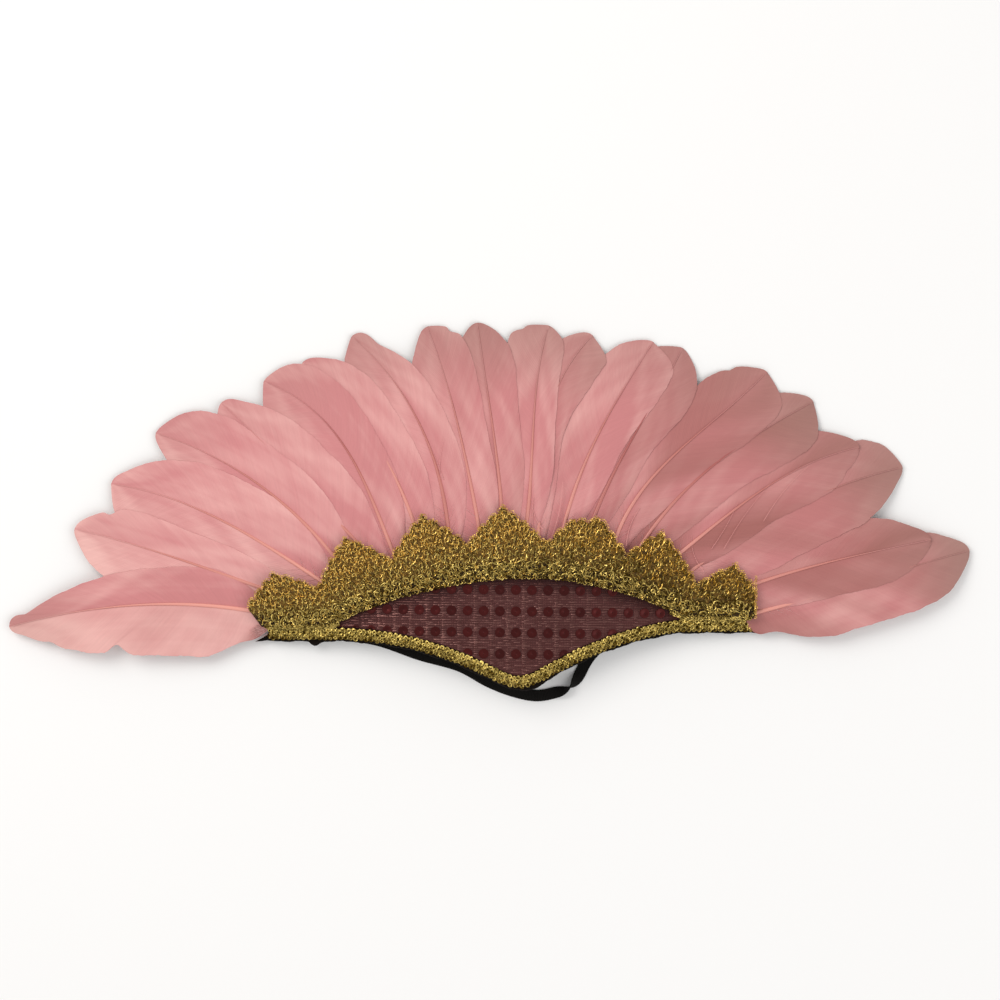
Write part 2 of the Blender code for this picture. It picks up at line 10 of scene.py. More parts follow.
import bpy
import numpy as np
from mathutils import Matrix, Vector


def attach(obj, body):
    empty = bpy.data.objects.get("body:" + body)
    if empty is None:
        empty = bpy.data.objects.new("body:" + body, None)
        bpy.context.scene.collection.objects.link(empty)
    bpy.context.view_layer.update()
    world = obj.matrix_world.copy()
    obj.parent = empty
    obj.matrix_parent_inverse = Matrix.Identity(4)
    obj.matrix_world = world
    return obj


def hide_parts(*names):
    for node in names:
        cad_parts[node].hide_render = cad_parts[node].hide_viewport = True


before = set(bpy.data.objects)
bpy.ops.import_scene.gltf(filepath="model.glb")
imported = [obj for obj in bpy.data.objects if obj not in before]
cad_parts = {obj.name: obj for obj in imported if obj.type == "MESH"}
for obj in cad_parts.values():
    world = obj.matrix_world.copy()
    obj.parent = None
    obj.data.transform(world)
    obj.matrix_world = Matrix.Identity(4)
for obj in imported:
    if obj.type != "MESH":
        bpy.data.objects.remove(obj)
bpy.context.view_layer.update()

MM = 0.001
FAN_CENTRE = np.array((10.010, -211.933, 0.0))  # from the middle of the footprint


# Camera, lights and floor.

PIXEL = 0.4673      # millimetres in a pixel of the 1000 pixel frame
LENS = 110.0
SENSOR = 36.0
AIM = Vector((4.907, 5.608, 9.0)) * MM

camera_data = bpy.data.cameras.new("camera")
camera_data.lens = LENS
camera_data.sensor_width = SENSOR
camera = bpy.data.objects.new("camera", camera_data)
camera.location = AIM + Vector((0.0, 0.0, 1000.0 * PIXEL * LENS / SENSOR * MM))
bpy.context.scene.collection.objects.link(camera)
bpy.context.scene.camera = camera


def soft_lamp(name, where, size, watts, tint=(1.0, 1.0, 1.0)):
    """A square lamp that faces the middle of the headdress."""
    data = bpy.data.lights.new(name, "AREA")
    data.size = size
    data.energy = watts
    data.color = tint
    lamp = bpy.data.objects.new(name, data)
    lamp.location = where
    lamp.rotation_euler = (AIM - Vector(where)).to_track_quat("-Z", "Y").to_euler()
    bpy.context.scene.collection.objects.link(lamp)


soft_lamp("key_lamp", (-0.95, 0.75, 1.25), 1.1, 15.0, (1.0, 0.98, 0.95))
soft_lamp("fill_lamp", (1.1, -0.6, 1.3), 1.4, 9.0)
scene = bpy.context.scene
scene.view_settings.view_transform = "Standard"
scene.world = scene.world or bpy.data.worlds.new("studio")
scene.world.use_nodes = True
scene.world.node_tree.nodes["Background"].inputs["Color"].default_value = (1.0, 1.0, 1.0, 1.0)
scene.world.node_tree.nodes["Background"].inputs["Strength"].default_value = 0.62


# Shape of the solids.


def table(columns, *rows):
    """Rows of a table with named columns; a row may leave out the last ones."""
    return [dict(zip(columns.split(), row)) for row in rows]


PANEL_RADIUS = 180.4
FELT_RADIUS = PANEL_RADIUS + 11.9
POINT_RADIUS = 0.754 * PANEL_RADIUS
POINT_BEARING, POINT_ROUND = 1.6, 3.0
WING_LEFT = dict(start=-28.2, line=0.8764 * PANEL_RADIUS)
WING_RIGHT = dict(start=26.0, line=0.8975 * PANEL_RADIUS)
FELT_ENDS = (-37.2, 35.8)
FELT_THICK, CLOTH_THICK, LAY_GAP = 2.0, 1.0, 0.38
BASE_MID_X = -0.0194 * PANEL_RADIUS
BOW, BOW_FLAT, BOW_REACH = 10.0, 0.11 * PANEL_RADIUS, 0.743 * PANEL_RADIUS
BACK_LEVEL = 1.35
BRAID_WIDTH, BRAID_GAP = 5.6, 0.3
BRAID_ENDS = (-35.7, 35.2)
LACE_ENDS = (-36.3, 34.9)
LACE_RIGHT_X = 0.633 * PANEL_RADIUS
LACE_VALLEY, LACE_POINT = PANEL_RADIUS + 17.2, 16.6
LACE_FIRST, LACE_PITCH, LACE_POINTS = -31.2, 10.05, 7
LACE_SKEW, LACE_END_FALL = (0.42, 0.68), 0.81
LACE_LOBE = dict(bearing=11.0, tall=0.96, fall=5.0, low=0.76)   # the fifth point has two lobes
LACE_SAG = dict(left=0.9, right=3.2, start=-14.0, full=10.0)    # the lace lies higher to the right
LACE_OVER_PANEL, LACE_COVER, LACE_CLIMB = 1.8, 3.35, 8.5
PICOT_RISE, PICOTS = 2.3, 7     # small loops along the points, to a point
SEQUIN_RADIUS = 2.3
SEQUIN_PITCH_X, SEQUIN_PITCH_Y = 7.5, 9.95
SEQUIN_FIRST_X, SEQUIN_TOP_Y, SEQUIN_ROWS = -5.2, PANEL_RADIUS - 4.7, 4
VANE_HALF, VANE_MIN, ROOT_SHARE = 17.0, 0.7, 0.14
QUILL_HALF, QUILL_HALF_TIP = 1.0, 0.3
QUILL_RIDGE, QUILL_RIDGE_TIP = 0.45, 0.12
LAYER_STEP = 1.32
ROOT_RADIUS = PANEL_RADIUS + 8.9
TIP_RADIUS = ROOT_RADIUS + 109.7
PITCH_ROOT, PITCH_TIP, MIDDLE_FEATHER = 3.2, 5.4, 10.6
ROW_ENDS = (0.6, 19.9)
ROOT_LEVEL, TIP_LEVEL, ARCH = 4.35, 2.05, 5.5

BAND_WIDTH, BAND_THICK, BAND_LIFT = 5.4, 0.9, 26.0
TWIST_AT, TWIST_SPAN = 0.616, 0.085
# Middle of the elastic, shares of the panel radius.
BAND_ROUTE = table(
    "x y",
    (-0.6142, 0.8886), (-0.5493, 0.8731), (-0.4457, 0.8575), (-0.3420, 0.8392), (-0.2384, 0.8032),
    (-0.1347, 0.7738), (-0.0571, 0.7323), (0.0078, 0.7073), (0.0671, 0.6962), (0.1186, 0.7051),
    (0.1530, 0.7184), (0.1729, 0.7406), (0.2073, 0.7999), (0.2644, 0.8498), (0.3470, 0.8858),
    (0.4557, 0.9069), (0.5776, 0.9246),
)

# Feathers, clockwise from the lowest left one. root, tip: bearings; reach: radius of the
# tip, share of TIP_RADIUS; pull_root, pull_tip: sideways pull of the shaft, share of its
# length; left, right: widths of the vane's sides, shares of VANE_HALF; blunt_left,
# blunt_right: how late each side closes to the tip; narrow: share of the right side kept at
# mid length; full: share of the length at which the vane is full.
FEATHERS = table(
    "root tip reach pull_root pull_tip left right blunt_left blunt_right narrow full start",
    (-34.3, -56.1, 0.9478, 0.086, 0.076, 1.42, 1.07, 5.2, 3.3, 1.00, 0.27, 1.0486),
    (-28.3, -45.1, 0.9662, 0.008, 0.033, 1.24, 0.98, 11.0, 11.0, 0.80, 0.46),
    (-24.3, -39.8, 0.9799, 0.046, 0.108, 1.06, 1.26, 40.0, 7.5, 1.00, 0.46),
    (-22.0, -33.8, 1.0020, 0.113, 0.123, 1.05, 1.22, 11.0, 13.0, 0.85, 0.46),
    (-17.2, -27.3, 0.9906, 0.005, 0.023, 1.06, 1.18, 14.0, 6.6, 0.95, 0.46),
    (-15.4, -23.0, 0.9926, 0.070, 0.224, 1.08, 1.07, 26.0, 18.0, 0.85, 0.46),
    (-11.8, -19.1, 0.9987, 0.105, 0.129, 1.06, 1.00, 24.0, 11.0, 0.90, 0.46),
    (-8.6, -14.2, 1.0161, 0.141, 0.156, 1.08, 1.08, 20.0, 4.1, 0.74, 0.46),
    (-3.6, -7.5, 1.0084, 0.020, 0.046, 1.04, 0.88, 9.5, 28.0, 0.85, 0.36),
    (-1.0, -3.0, 1.0074, 0.036, 0.009, 0.99, 0.88, 11.0, 16.0, 0.85, 0.46),
    (1.2, 3.4, 1.0033, 0.040, -0.060, 1.02, 0.61, 34.0, 30.0, 1.00, 0.46),
    (3.8, 7.4, 0.9946, -0.073, -0.195, 0.98, 0.82, 10.5, 60.0, 0.62, 0.46),
    (6.6, 12.9, 1.0010, -0.104, -0.057, 1.01, 0.98, 15.0, 44.0, 0.80, 0.46),
    (9.6, 15.6, 1.0033, -0.080, -0.006, 0.95, 1.00, 24.0, 15.0, 0.62, 0.46),
    (13.7, 23.4, 1.0124, -0.198, -0.024, 1.06, 1.11, 14.0, 34.0, 0.80, 0.46),
    (16.2, 28.3, 1.0020, -0.140, -0.086, 1.01, 1.11, 11.0, 32.0, 0.85, 0.46),
    (18.8, 34.0, 0.9776, -0.023, -0.121, 1.06, 1.05, 9.0, 12.0, 0.85, 0.46),
    (22.4, 38.3, 0.9926, -0.074, -0.088, 1.06, 1.35, 22.0, 9.0, 0.95, 0.46),
    (27.5, 44.7, 0.9358, -0.051, -0.029, 1.02, 1.04, 8.5, 10.0, 0.90, 0.46),
    (33.8, 48.0, 0.9686, 0.015, -0.014, 1.06, 1.21, 8.0, 10.5, 1.00, 0.38, 1.0407),
)

# Dye, wear and painted light and shade of each feather. left, right: tone of each side, 0 dark pink
# to 1 pale, partly the dye and partly painted light that draws the side towards the light paler;
# dusk: grey brown painted shade, strongest on the feathers to the right, away from the light;
# tip: dark tip; shaft: tone of the shaft, 0 dark to 1 light; far: tone at its far end.
DYE_AND_SHADING = table(
    "left right dusk tip shaft far",
    (1.20, 0.10, 0.18, 0.35, 0.95, 0.70),
    (0.95, 0.55, 0.00, 0.15, 0.80, 0.60),
    (0.60, 0.35, 0.00, 0.10, 0.95, 0.60),
    (0.30, 0.20, 0.00, 0.20, 0.80, 0.45),
    (0.30, 0.30, 0.05, 0.15, 0.60, 0.50),
    (0.12, 0.10, 0.15, 0.20, 0.80, 0.15),
    (0.40, 0.25, 0.05, 0.20, 0.80, 0.60),
    (0.35, 0.35, 0.10, 0.45, 0.45, 0.35),
    (0.30, 0.30, 0.20, 0.45, 0.75, 0.40),
    (0.20, 0.15, 0.35, 0.60, 0.60, 0.40),
    (0.25, 0.30, 0.10, 0.60, 0.60, 0.50),
    (0.35, 0.30, 0.30, 0.50, 0.95, 0.50),
    (0.25, 0.15, 0.15, 0.35, 0.75, 0.40),
    (0.20, 0.20, 0.45, 0.50, 0.35, 0.15),
    (0.20, 0.15, 0.65, 0.40, 0.70, 0.35),
    (0.20, 0.10, 0.80, 0.70, 0.60, 0.10),
    (0.20, 0.15, 0.85, 0.45, 0.75, 0.35),
    (0.25, 0.20, 0.60, 0.75, 0.65, 0.35),
    (0.30, 0.25, 0.75, 0.45, 0.70, 0.50),
    (0.35, 0.35, 0.75, 0.85, 0.80, 0.40),
)

# Notches worn into the outline. at: share of the length; depth and span in millimetres and share.
NOTCHES = table(
    "feather side at depth span",
    (1, "left", 0.60, 5.0, 0.035),
    (1, "left", 0.86, 1.6, 0.03),
    (2, "right", 0.88, 1.8, 0.02),
    (6, "left", 0.90, 1.2, 0.02),
    (9, "right", 0.95, 2.2, 0.015),
    (11, "left", 0.96, 2.0, 0.012),
    (15, "left", 0.90, 1.4, 0.02),
    (17, "right", 0.93, 1.4, 0.02),
)


def smooth(value):
    value = np.clip(value, 0.0, 1.0)
    return value * value * (3.0 - 2.0 * value)


def mix(low, high, share):
    return low + (high - low) * share


def place(bearing, radius):
    turn = np.radians(bearing)
    return radius * np.sin(turn), radius * np.cos(turn)


def polar(x, y):
    return np.degrees(np.arctan2(x, y)), np.hypot(x, y)


def xyz(x, y, z):
    return np.stack((x, y, z), -1)


def bow(x):
    """Height that the bow adds to the base."""
    run = (np.abs(x - BASE_MID_X) - BOW_FLAT) / (BOW_REACH - BOW_FLAT)
    return BOW * np.cos(0.5 * np.pi * np.clip(run, 0.0, 1.0)) ** 2


def lower_edge(bearing):
    """Radius of the lower edge of the panel and, on the wings, of the lace."""
    bearing = np.asarray(bearing, float)
    away = bearing - POINT_BEARING
    start = np.where(away > 0.0, WING_RIGHT["start"], WING_LEFT["start"])
    line = np.where(away > 0.0, WING_RIGHT["line"], WING_LEFT["line"])
    full = np.hypot(start - POINT_BEARING, POINT_ROUND) - POINT_ROUND
    climb = (np.hypot(away, POINT_ROUND) - POINT_ROUND) / full
    middle = mix(POINT_RADIUS, line / np.cos(np.radians(start)), climb)
    return np.where(climb > 1.0, line / np.cos(np.radians(bearing)), middle)


def felt_top(x):
    """Level on which the cloth and the braid lie."""
    return BACK_LEVEL + FELT_THICK + LAY_GAP + bow(x)


def mean_surface(x, y):
    share = np.clip((np.hypot(x, y) - ROOT_RADIUS) / (TIP_RADIUS - ROOT_RADIUS), 0.0, 1.0)
    root = BACK_LEVEL + ROOT_LEVEL + bow(x)
    return mix(root, TIP_LEVEL, smooth(share)) + ARCH * np.sin(np.pi * share)


def feather_surface(number, x, y):
    bearing, radius = polar(x, y)
    share = smooth((radius - ROOT_RADIUS) / (TIP_RADIUS - ROOT_RADIUS))
    position = MIDDLE_FEATHER + bearing / mix(PITCH_ROOT, PITCH_TIP, share)
    return mean_surface(x, y) + LAYER_STEP * (np.clip(position, *ROW_ENDS) - number)


def lace_underside(x, y):
    low = BACK_LEVEL + FELT_THICK + CLOTH_THICK + 2.0 * LAY_GAP + bow(x)
    share = smooth((np.hypot(x, y) - PANEL_RADIUS + LACE_OVER_PANEL) / LACE_CLIMB)
    return mix(low, mean_surface(x, y) + LACE_COVER, share)


def lace_edge(bearing):
    """Outer radius of the lace: pointed, with a row of picots along each point."""
    phase = (np.asarray(bearing, float) - LACE_FIRST) / LACE_PITCH
    beyond = np.maximum(-phase, phase - (LACE_POINTS - 1))
    skew = mix(*LACE_SKEW, np.floor(phase) / (LACE_POINTS - 2))
    step = phase % 1.0
    to_point = np.where(step < skew, 1.0 - step / skew, (step - skew) / (1.0 - skew))
    to_point = np.where(beyond > 0.0, 1.0 - LACE_END_FALL * beyond, to_point)
    away = np.abs(np.asarray(bearing, float) - LACE_LOBE["bearing"])
    to_point = np.where(away < LACE_LOBE["fall"], np.minimum(to_point, LACE_LOBE["low"]), to_point)
    to_point = np.maximum(to_point, LACE_LOBE["tall"] - away / LACE_LOBE["fall"])
    picot = np.abs(np.cos(np.pi * PICOTS * phase)) ** 0.6
    edge = LACE_VALLEY + LACE_POINT * to_point ** 0.9 + PICOT_RISE * (picot - 0.55)
    cut = LACE_RIGHT_X / np.sin(np.radians(np.maximum(bearing, 1.0)))
    return np.minimum(edge, cut)


def lace_rise(bearing):
    run = (np.asarray(bearing, float) - LACE_SAG["start"]) / (LACE_SAG["full"] - LACE_SAG["start"])
    return mix(LACE_SAG["left"], LACE_SAG["right"], smooth(run))


def lace_inner(bearing):
    inner = PANEL_RADIUS - LACE_OVER_PANEL + lace_rise(bearing)
    return np.maximum(inner, lower_edge(bearing) + BRAID_GAP)


def quill_point(row, share):
    """Plan point of the shaft, and the unit direction to its right."""
    start_x, start_y = place(row["root"], row.get("start", 1.0) * ROOT_RADIUS)
    end_x, end_y = place(row["tip"], row["reach"] * TIP_RADIUS)
    run_x, run_y = end_x - start_x, end_y - start_y
    aside = row["pull_root"] * 3.0 * (1.0 - share) ** 2 * share
    aside = aside + row["pull_tip"] * 3.0 * (1.0 - share) * share * share
    slope = row["pull_root"] * 3.0 * (1.0 - share) * (1.0 - 3.0 * share)
    slope = slope + row["pull_tip"] * 3.0 * share * (2.0 - 3.0 * share)
    x = start_x + run_x * share + run_y * aside
    y = start_y + run_y * share - run_x * aside
    along_x, along_y = run_x + run_y * slope, run_y - run_x * slope
    length = np.hypot(along_x, along_y)
    return x, y, along_y / length, -along_x / length


def vane_width(row, side, share):
    rise = ROOT_SHARE + (1.0 - ROOT_SHARE) * np.sin(0.5 * np.pi * np.minimum(1.0, share / row["full"]))
    width = row[side] * VANE_HALF * rise * (1.0 - np.minimum(share, 1.0) ** row["blunt_" + side])
    if side == "right":
        width = width * mix(row["narrow"], 1.0, smooth((share - 0.5) / 0.35))
    return np.maximum(width, VANE_MIN)


# Mesh work.


def grid_faces(rows, columns, closed=False, first=0):
    """Quads of a grid of points; closed joins the last column to the first."""
    row = np.arange(rows - 1)[:, None]
    column = np.arange(columns if closed else columns - 1)[None, :]
    a = first + row * columns + column
    b = first + row * columns + (column + 1) % columns
    return np.stack((a, b, b + columns, a + columns), axis=-1).reshape(-1, 4)


def repeated(faces, count, size):
    """The faces of one shape again for each of many alike, which have this many points each."""
    return (faces[None] + (np.arange(count) * size)[:, None, None]).reshape(-1, 4)


def part(points, faces, finish=0, flat=False, **marks):
    """Points in millimetres about the fan centre with their faces, a material's place in the
    piece's list, and a value or a colour for each point under each mark's name."""
    return dict(points=np.asarray(points, float).reshape(-1, 3), faces=np.asarray(faces), finish=finish,
        flat=flat, marks=marks)


def piece(name, parts, finishes, nodes=()):
    """One piece of the headdress from its parts, riding on the solid body."""
    points = np.concatenate([item["points"] for item in parts])
    firsts = np.cumsum([0] + [len(item["points"]) for item in parts[:-1]])
    corners = np.concatenate([(item["faces"] + first).ravel() for item, first in zip(parts, firsts)])
    counts = [len(item["faces"]) for item in parts]
    sizes = np.repeat([item["faces"].shape[1] for item in parts], counts)
    finish, flat = (np.repeat([item[key] for item in parts], counts) for key in ("finish", "flat"))
    mesh = bpy.data.meshes.new(name)
    mesh.vertices.add(len(points))
    mesh.vertices.foreach_set("co", ((points + FAN_CENTRE) * MM).astype(np.float32).ravel())
    mesh.loops.add(len(corners))
    mesh.loops.foreach_set("vertex_index", corners.astype(np.int32))
    mesh.polygons.add(len(sizes))
    starts = np.concatenate(((0,), np.cumsum(sizes)[:-1]))
    mesh.polygons.foreach_set("loop_start", starts.astype(np.int32))
    mesh.polygons.foreach_set("loop_total", sizes.astype(np.int32))
    mesh.update(calc_edges=True)
    mesh.polygons.foreach_set("material_index", finish.astype(np.int32))
    mesh.polygons.foreach_set("use_smooth", np.logical_not(flat))
    for label in sorted({key for item in parts for key in item["marks"]}):
        values = [item["marks"].get(label, 0.0) for item in parts]
        vector = max(np.ndim(value) for value in values) == 2
        kind, field, shape = ("FLOAT_VECTOR", "vector", (3,)) if vector else ("FLOAT", "value", ())
        values = [np.broadcast_to(value, (len(item["points"]),) + shape)
            for value, item in zip(values, parts)]
        layer = mesh.attributes.new(label, kind, "POINT")
        layer.data.foreach_set(field, np.concatenate(values).astype(np.float32).ravel())
    for item in finishes:
        mesh.materials.append(item)
    made = bpy.data.objects.new(name, mesh)
    bpy.context.scene.collection.objects.link(made)
    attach(made, "root")
    if nodes:
        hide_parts(*nodes)
    return made


def yarns(paths, thick, sides, ring=False, squeeze=1.0, **rest):
    """Yarns round many paths of equal length; ring joins each one's end to its start."""
    paths = np.asarray(paths, float)
    count, steps, _ = paths.shape
    ahead = np.roll(paths, -1, 1) - np.roll(paths, 1, 1)
    if not ring:
        ahead[:, 0] = paths[:, 1] - paths[:, 0]
        ahead[:, -1] = paths[:, -1] - paths[:, -2]
    ahead /= np.linalg.norm(ahead, axis=2, keepdims=True) + 1e-9
    side = np.cross(ahead, (0.02, 0.01, 1.0))
    side /= np.linalg.norm(side, axis=2, keepdims=True) + 1e-9
    up = np.cross(side, ahead)
    thick = np.broadcast_to(np.asarray(thick, float), (count, steps))[..., None, None]
    turn = (2.0 * np.pi * (np.arange(sides) + 0.5) / sides)[None, None, :, None]
    section = np.cos(turn) * side[:, :, None] + squeeze * np.sin(turn) * up[:, :, None]
    points = paths[:, :, None] + thick * section
    one = grid_faces(steps, sides, closed=True)
    if ring:
        last = np.arange(sides) + (steps - 1) * sides
        after = (np.arange(sides) + 1) % sides
        closing = np.stack((last, after + (steps - 1) * sides, after, np.arange(sides)), -1)
        one = np.concatenate((one, closing))
    faces = repeated(one, count, steps * sides)
    marks = {}
    for mark in [key for key in rest if key not in ("finish", "flat")]:
        value = np.broadcast_to(np.asarray(rest.pop(mark), float), (count, steps))
        marks[mark] = np.repeat(value.reshape(-1), sides)
    return part(points, faces, **rest, **marks)


def edge_path(first, final, steps, outward):
    """Plan path beside the lower edge from left to right, moved away from the panel."""
    bearing = np.linspace(first, final, steps + 1)
    return moved(np.stack(place(bearing, lower_edge(bearing)), -1), outward)


def heading(path):
    """Unit direction of a plan path at each of its points."""
    ahead = np.gradient(path, axis=0)
    return ahead / np.linalg.norm(ahead, axis=1, keepdims=True)


def distances(path):
    """Distance of each point of a path from its start, along the path."""
    return np.concatenate(((0.0,), np.cumsum(np.linalg.norm(np.diff(path, axis=0), axis=1))))


def moved(path, aside):
    """The plan path moved to its right."""
    ahead = heading(path)
    return path + aside * np.stack((ahead[:, 1], -ahead[:, 0]), -1)


def lay_along(path, along, aside):
    """Plan points at distances along a path and to its left."""
    run, ahead = distances(path), heading(path)
    x, y = (np.interp(along, run, path[:, axis]) for axis in (0, 1))
    ax, ay = (np.interp(along, run, ahead[:, axis]) for axis in (0, 1))
    return x - ay * aside, y + ax * aside


def wander(values, seed, spread=1.0):
    """Smooth waves without a repeat, about -1 to 1."""
    chance = np.random.default_rng(seed)
    total = np.zeros_like(np.asarray(values, float))
    for wave in range(4):
        pace = spread * (1.0 + 1.7 * wave) * chance.uniform(0.8, 1.25)
        total = total + np.sin(values * pace + chance.uniform(0.0, 6.3)) / (1.0 + wave)
    return total / 1.6


# Materials.


def linear(code):
    """Linear red, green and blue of an sRGB hex colour."""
    channels = [int(code[at:at + 2], 16) / 255.0 for at in (1, 3, 5)]
    return tuple(c / 12.92 if c <= 0.04045 else ((c + 0.055) / 1.055) ** 2.4 for c in channels)


def add(tree, kind, output, sockets=None, **settings):
    """Adds a node and gives this output of it; sockets has a value or a link for each input."""
    made = tree.nodes.new("ShaderNode" + kind)
    for key, value in settings.items():
        setattr(made, key, value)
    for key, value in (sockets or {}).items():
        if isinstance(value, bpy.types.NodeSocket):
            tree.links.new(value, made.inputs[key])
        else:
            made.inputs[key].default_value = value
    return made.outputs[output]


def new_material(name, **sockets):
    """A material, its node tree and its Principled shader with these socket values."""
    material = bpy.data.materials.new(name)
    material.use_nodes = True
    shader = material.node_tree.nodes["Principled BSDF"]
    for key, value in sockets.items():
        if isinstance(value, tuple) and len(value) == 3:
            value = value + (1.0,)
        shader.inputs[key.replace("_", " ")].default_value = value
    return material, material.node_tree, shader


def relief(tree, shader, height, depth_mm):
    """Bump of this depth from a height between 0 and 1."""
    bump = add(tree, "Bump", "Normal", {"Height": height, "Distance": depth_mm * MM, "Strength": 1.0})
    tree.links.new(bump, shader.inputs["Normal"])


def paint(tree, shader, factor, dark, light, cast=None):
    """Base colour from dark to light by a factor, times a cast where the mesh's mark of painted shade by
    the lace is high.
    """
    colour = add(tree, "ValToRGB", "Color", {"Fac": factor})
    for element, code in zip(colour.node.color_ramp.elements, (dark, light)):
        element.color = linear(code) + (1.0,)
    if cast:
        deep = add(tree, "Attribute", "Fac", attribute_name="deep")
        colour = add(tree, "Mix", 2, {"Factor": deep, 6: colour, 7: linear(cast) + (1.0,)},
            data_type="RGBA", blend_type="MULTIPLY")
    tree.links.new(colour, shader.inputs["Base Color"])


BAND = 0.314    # scale at which a wave texture has one band to a unit


def dyed_goose_vane():
    """Goose vane feather, dyed in a bath: keratin barbs hooked side by side give a soft
    satin with fine streaks along the barbs, drawn 1.1 mm apart so that they show."""
    material, tree, shader = new_material("dyed goose feather vane", Roughness=0.62, IOR=1.5,
        Sheen_Weight=0.25, Sheen_Roughness=0.5, Sheen_Tint=linear("#FFD8D2"))
    # The colour mark holds the dye with painted light and shade laid over it.
    dye = add(tree, "Attribute", "Vector", attribute_name="dye")
    barb = add(tree, "Attribute", "Vector", attribute_name="barb")
    streak_at = add(tree, "Mapping", "Vector", {"Vector": barb, "Scale": (0.9, 0.10, 1.0)})
    streak = add(tree, "TexNoise", "Fac", {"Vector": streak_at, "Scale": 1.0, "Detail": 4.0,
        "Roughness": 0.6})
    shade = add(tree, "MapRange", "Result", {"Value": streak, "From Min": 0.3, "From Max": 0.7,
        "To Min": 0.955, "To Max": 1.035})
    colour = add(tree, "VectorMath", "Vector", {0: dye, 1: shade}, operation="MULTIPLY")
    tree.links.new(colour, shader.inputs["Base Color"])
    rib_at = add(tree, "Mapping", "Vector", {"Vector": barb, "Scale": (1.0, 0.02, 1.0)})
    rib = add(tree, "TexWave", "Fac", {"Vector": rib_at, "Scale": BAND / 1.1, "Distortion": 1.5,
        "Detail": 2.0}, bands_direction="X")
    relief(tree, shader, rib, 0.03)
    return material


def feather_shaft():
    """Keratin shaft, dyed with the feather: smooth, a little glossy and lighter than the vane."""
    material, tree, shader = new_material("dyed keratin shaft", Roughness=0.38, IOR=1.55)
    dye = add(tree, "Attribute", "Vector", attribute_name="dye")
    tree.links.new(dye, shader.inputs["Base Color"])
    return material


def shaded(name, dark, light, **sockets):
    """A material whose colour runs from dark to light with the shade mark of the mesh."""
    material, tree, shader = new_material(name, **sockets)
    shade = add(tree, "Attribute", "Fac", attribute_name="shade")
    paint(tree, shader, shade, dark, light)
    return material


def lace_ground():
    """Depth of the lace, where packed yarn lies in shadow: dark olive brown, in knots of 1.1 mm."""
    material, tree, shader = new_material("packed gold yarn ground", Metallic=0.55, Roughness=0.6)
    where = add(tree, "TexCoord", "Object")
    knots = add(tree, "TexVoronoi", "Distance", {"Vector": where, "Scale": 1.0 / (1.1 * MM)})
    # Painted shade: the ground is darker still where the mesh's mark of painted shade by the lace is high,
    # along the gimp at the inner edge.
    paint(tree, shader, knots, "#8A6420", "#38280A", cast="#8C8478")
    relief(tree, shader, knots, 0.5)
    return material


def lame_cloth():
    """Polyester cloth woven with metallic weft: dusky maroon with fine level threads, drawn 1.15 mm
    apart and crossed every 0.8 mm so that they show, and worn in patches of 9 mm."""
    material, tree, shader = new_material("woven maroon lame", Roughness=0.55, Metallic=0.1, IOR=1.5,
        Specular_IOR_Level=0.25)
    where = add(tree, "TexCoord", "Object")
    weft = add(tree, "TexWave", "Fac", {"Vector": where, "Scale": BAND / (1.15 * MM), "Distortion": 0.6,
        "Detail": 2.0}, bands_direction="Y")
    warp = add(tree, "TexWave", "Fac", {"Vector": where, "Scale": BAND / (0.8 * MM), "Distortion": 1.0,
        "Detail": 2.0}, bands_direction="X")
    patch = add(tree, "TexNoise", "Fac", {"Vector": where, "Scale": 1.0 / (9.0 * MM)})
    weave = add(tree, "Math", "Value", {0: weft, 1: warp}, operation="MULTIPLY")
    worn = add(tree, "Math", "Value", {0: weave, 1: patch}, operation="MULTIPLY")
    # Painted shade: by the lace the cast darkens and reddens the cloth, partly its red ground, partly
    # shadow of the lace.
    paint(tree, shader, worn, "#421B18", "#774442", cast="#BE7F80")
    relief(tree, shader, weave, 0.15)
    return material


def black_felt():
    """Needled wool felt: matt black, a little brown, with a soft nap of 0.7 mm."""
    material, tree, shader = new_material("needled black felt", Roughness=0.95, IOR=1.5,
        Specular_IOR_Level=0.12, Sheen_Weight=0.03)
    where = add(tree, "TexCoord", "Object")
    nap = add(tree, "TexNoise", "Fac", {"Vector": where, "Scale": 1.0 / (0.7 * MM), "Detail": 6.0,
        "Roughness": 0.7})
    paint(tree, shader, nap, "#070403", "#1A110B")
    relief(tree, shader, nap, 0.35)
    return material


def braided_elastic():
    """Polyester braid over rubber cords: matt black ribs with a fine cross weave, 0.7 mm apart."""
    material, tree, shader = new_material("braided black elastic", Roughness=0.75, IOR=1.5,
        Specular_IOR_Level=0.15)
    along = add(tree, "Attribute", "Fac", attribute_name="along")
    weave_at = add(tree, "CombineXYZ", "Vector", {"X": along})
    weave = add(tree, "TexWave", "Fac", {"Vector": weave_at, "Scale": BAND / 0.7}, bands_direction="X")
    paint(tree, shader, weave, "#050403", "#120F0B")
    relief(tree, shader, weave, 0.15)
    return material


VANE = dyed_goose_vane()
SHAFT = feather_shaft()
# Loose down at the foot of the vane: fine matt barbs that catch the light.
DOWN = new_material("dyed down", Base_Color=linear("#DDA8A2"), Roughness=0.8, IOR=1.5,
    Sheen_Weight=0.5)[0]
GROUND = lace_ground()
LAME = lame_cloth()
# Lurex yarn, a metallised film wound on a core: each bend throws a small glint, and the yarn is
# darker where it turns away.
LACE_YARN = shaded("gold lurex lace yarn", "#A97F2C", "#FFD676", Metallic=1.0, Roughness=0.36)
GIMP_YARN = shaded("pale gold lurex gimp yarn", "#4E3A0E", "#F0D278", Metallic=1.0, Roughness=0.28)
BRAID_YARN = shaded("gold lurex braid yarn", "#584312", "#DCC26E", Metallic=1.0, Roughness=0.32)
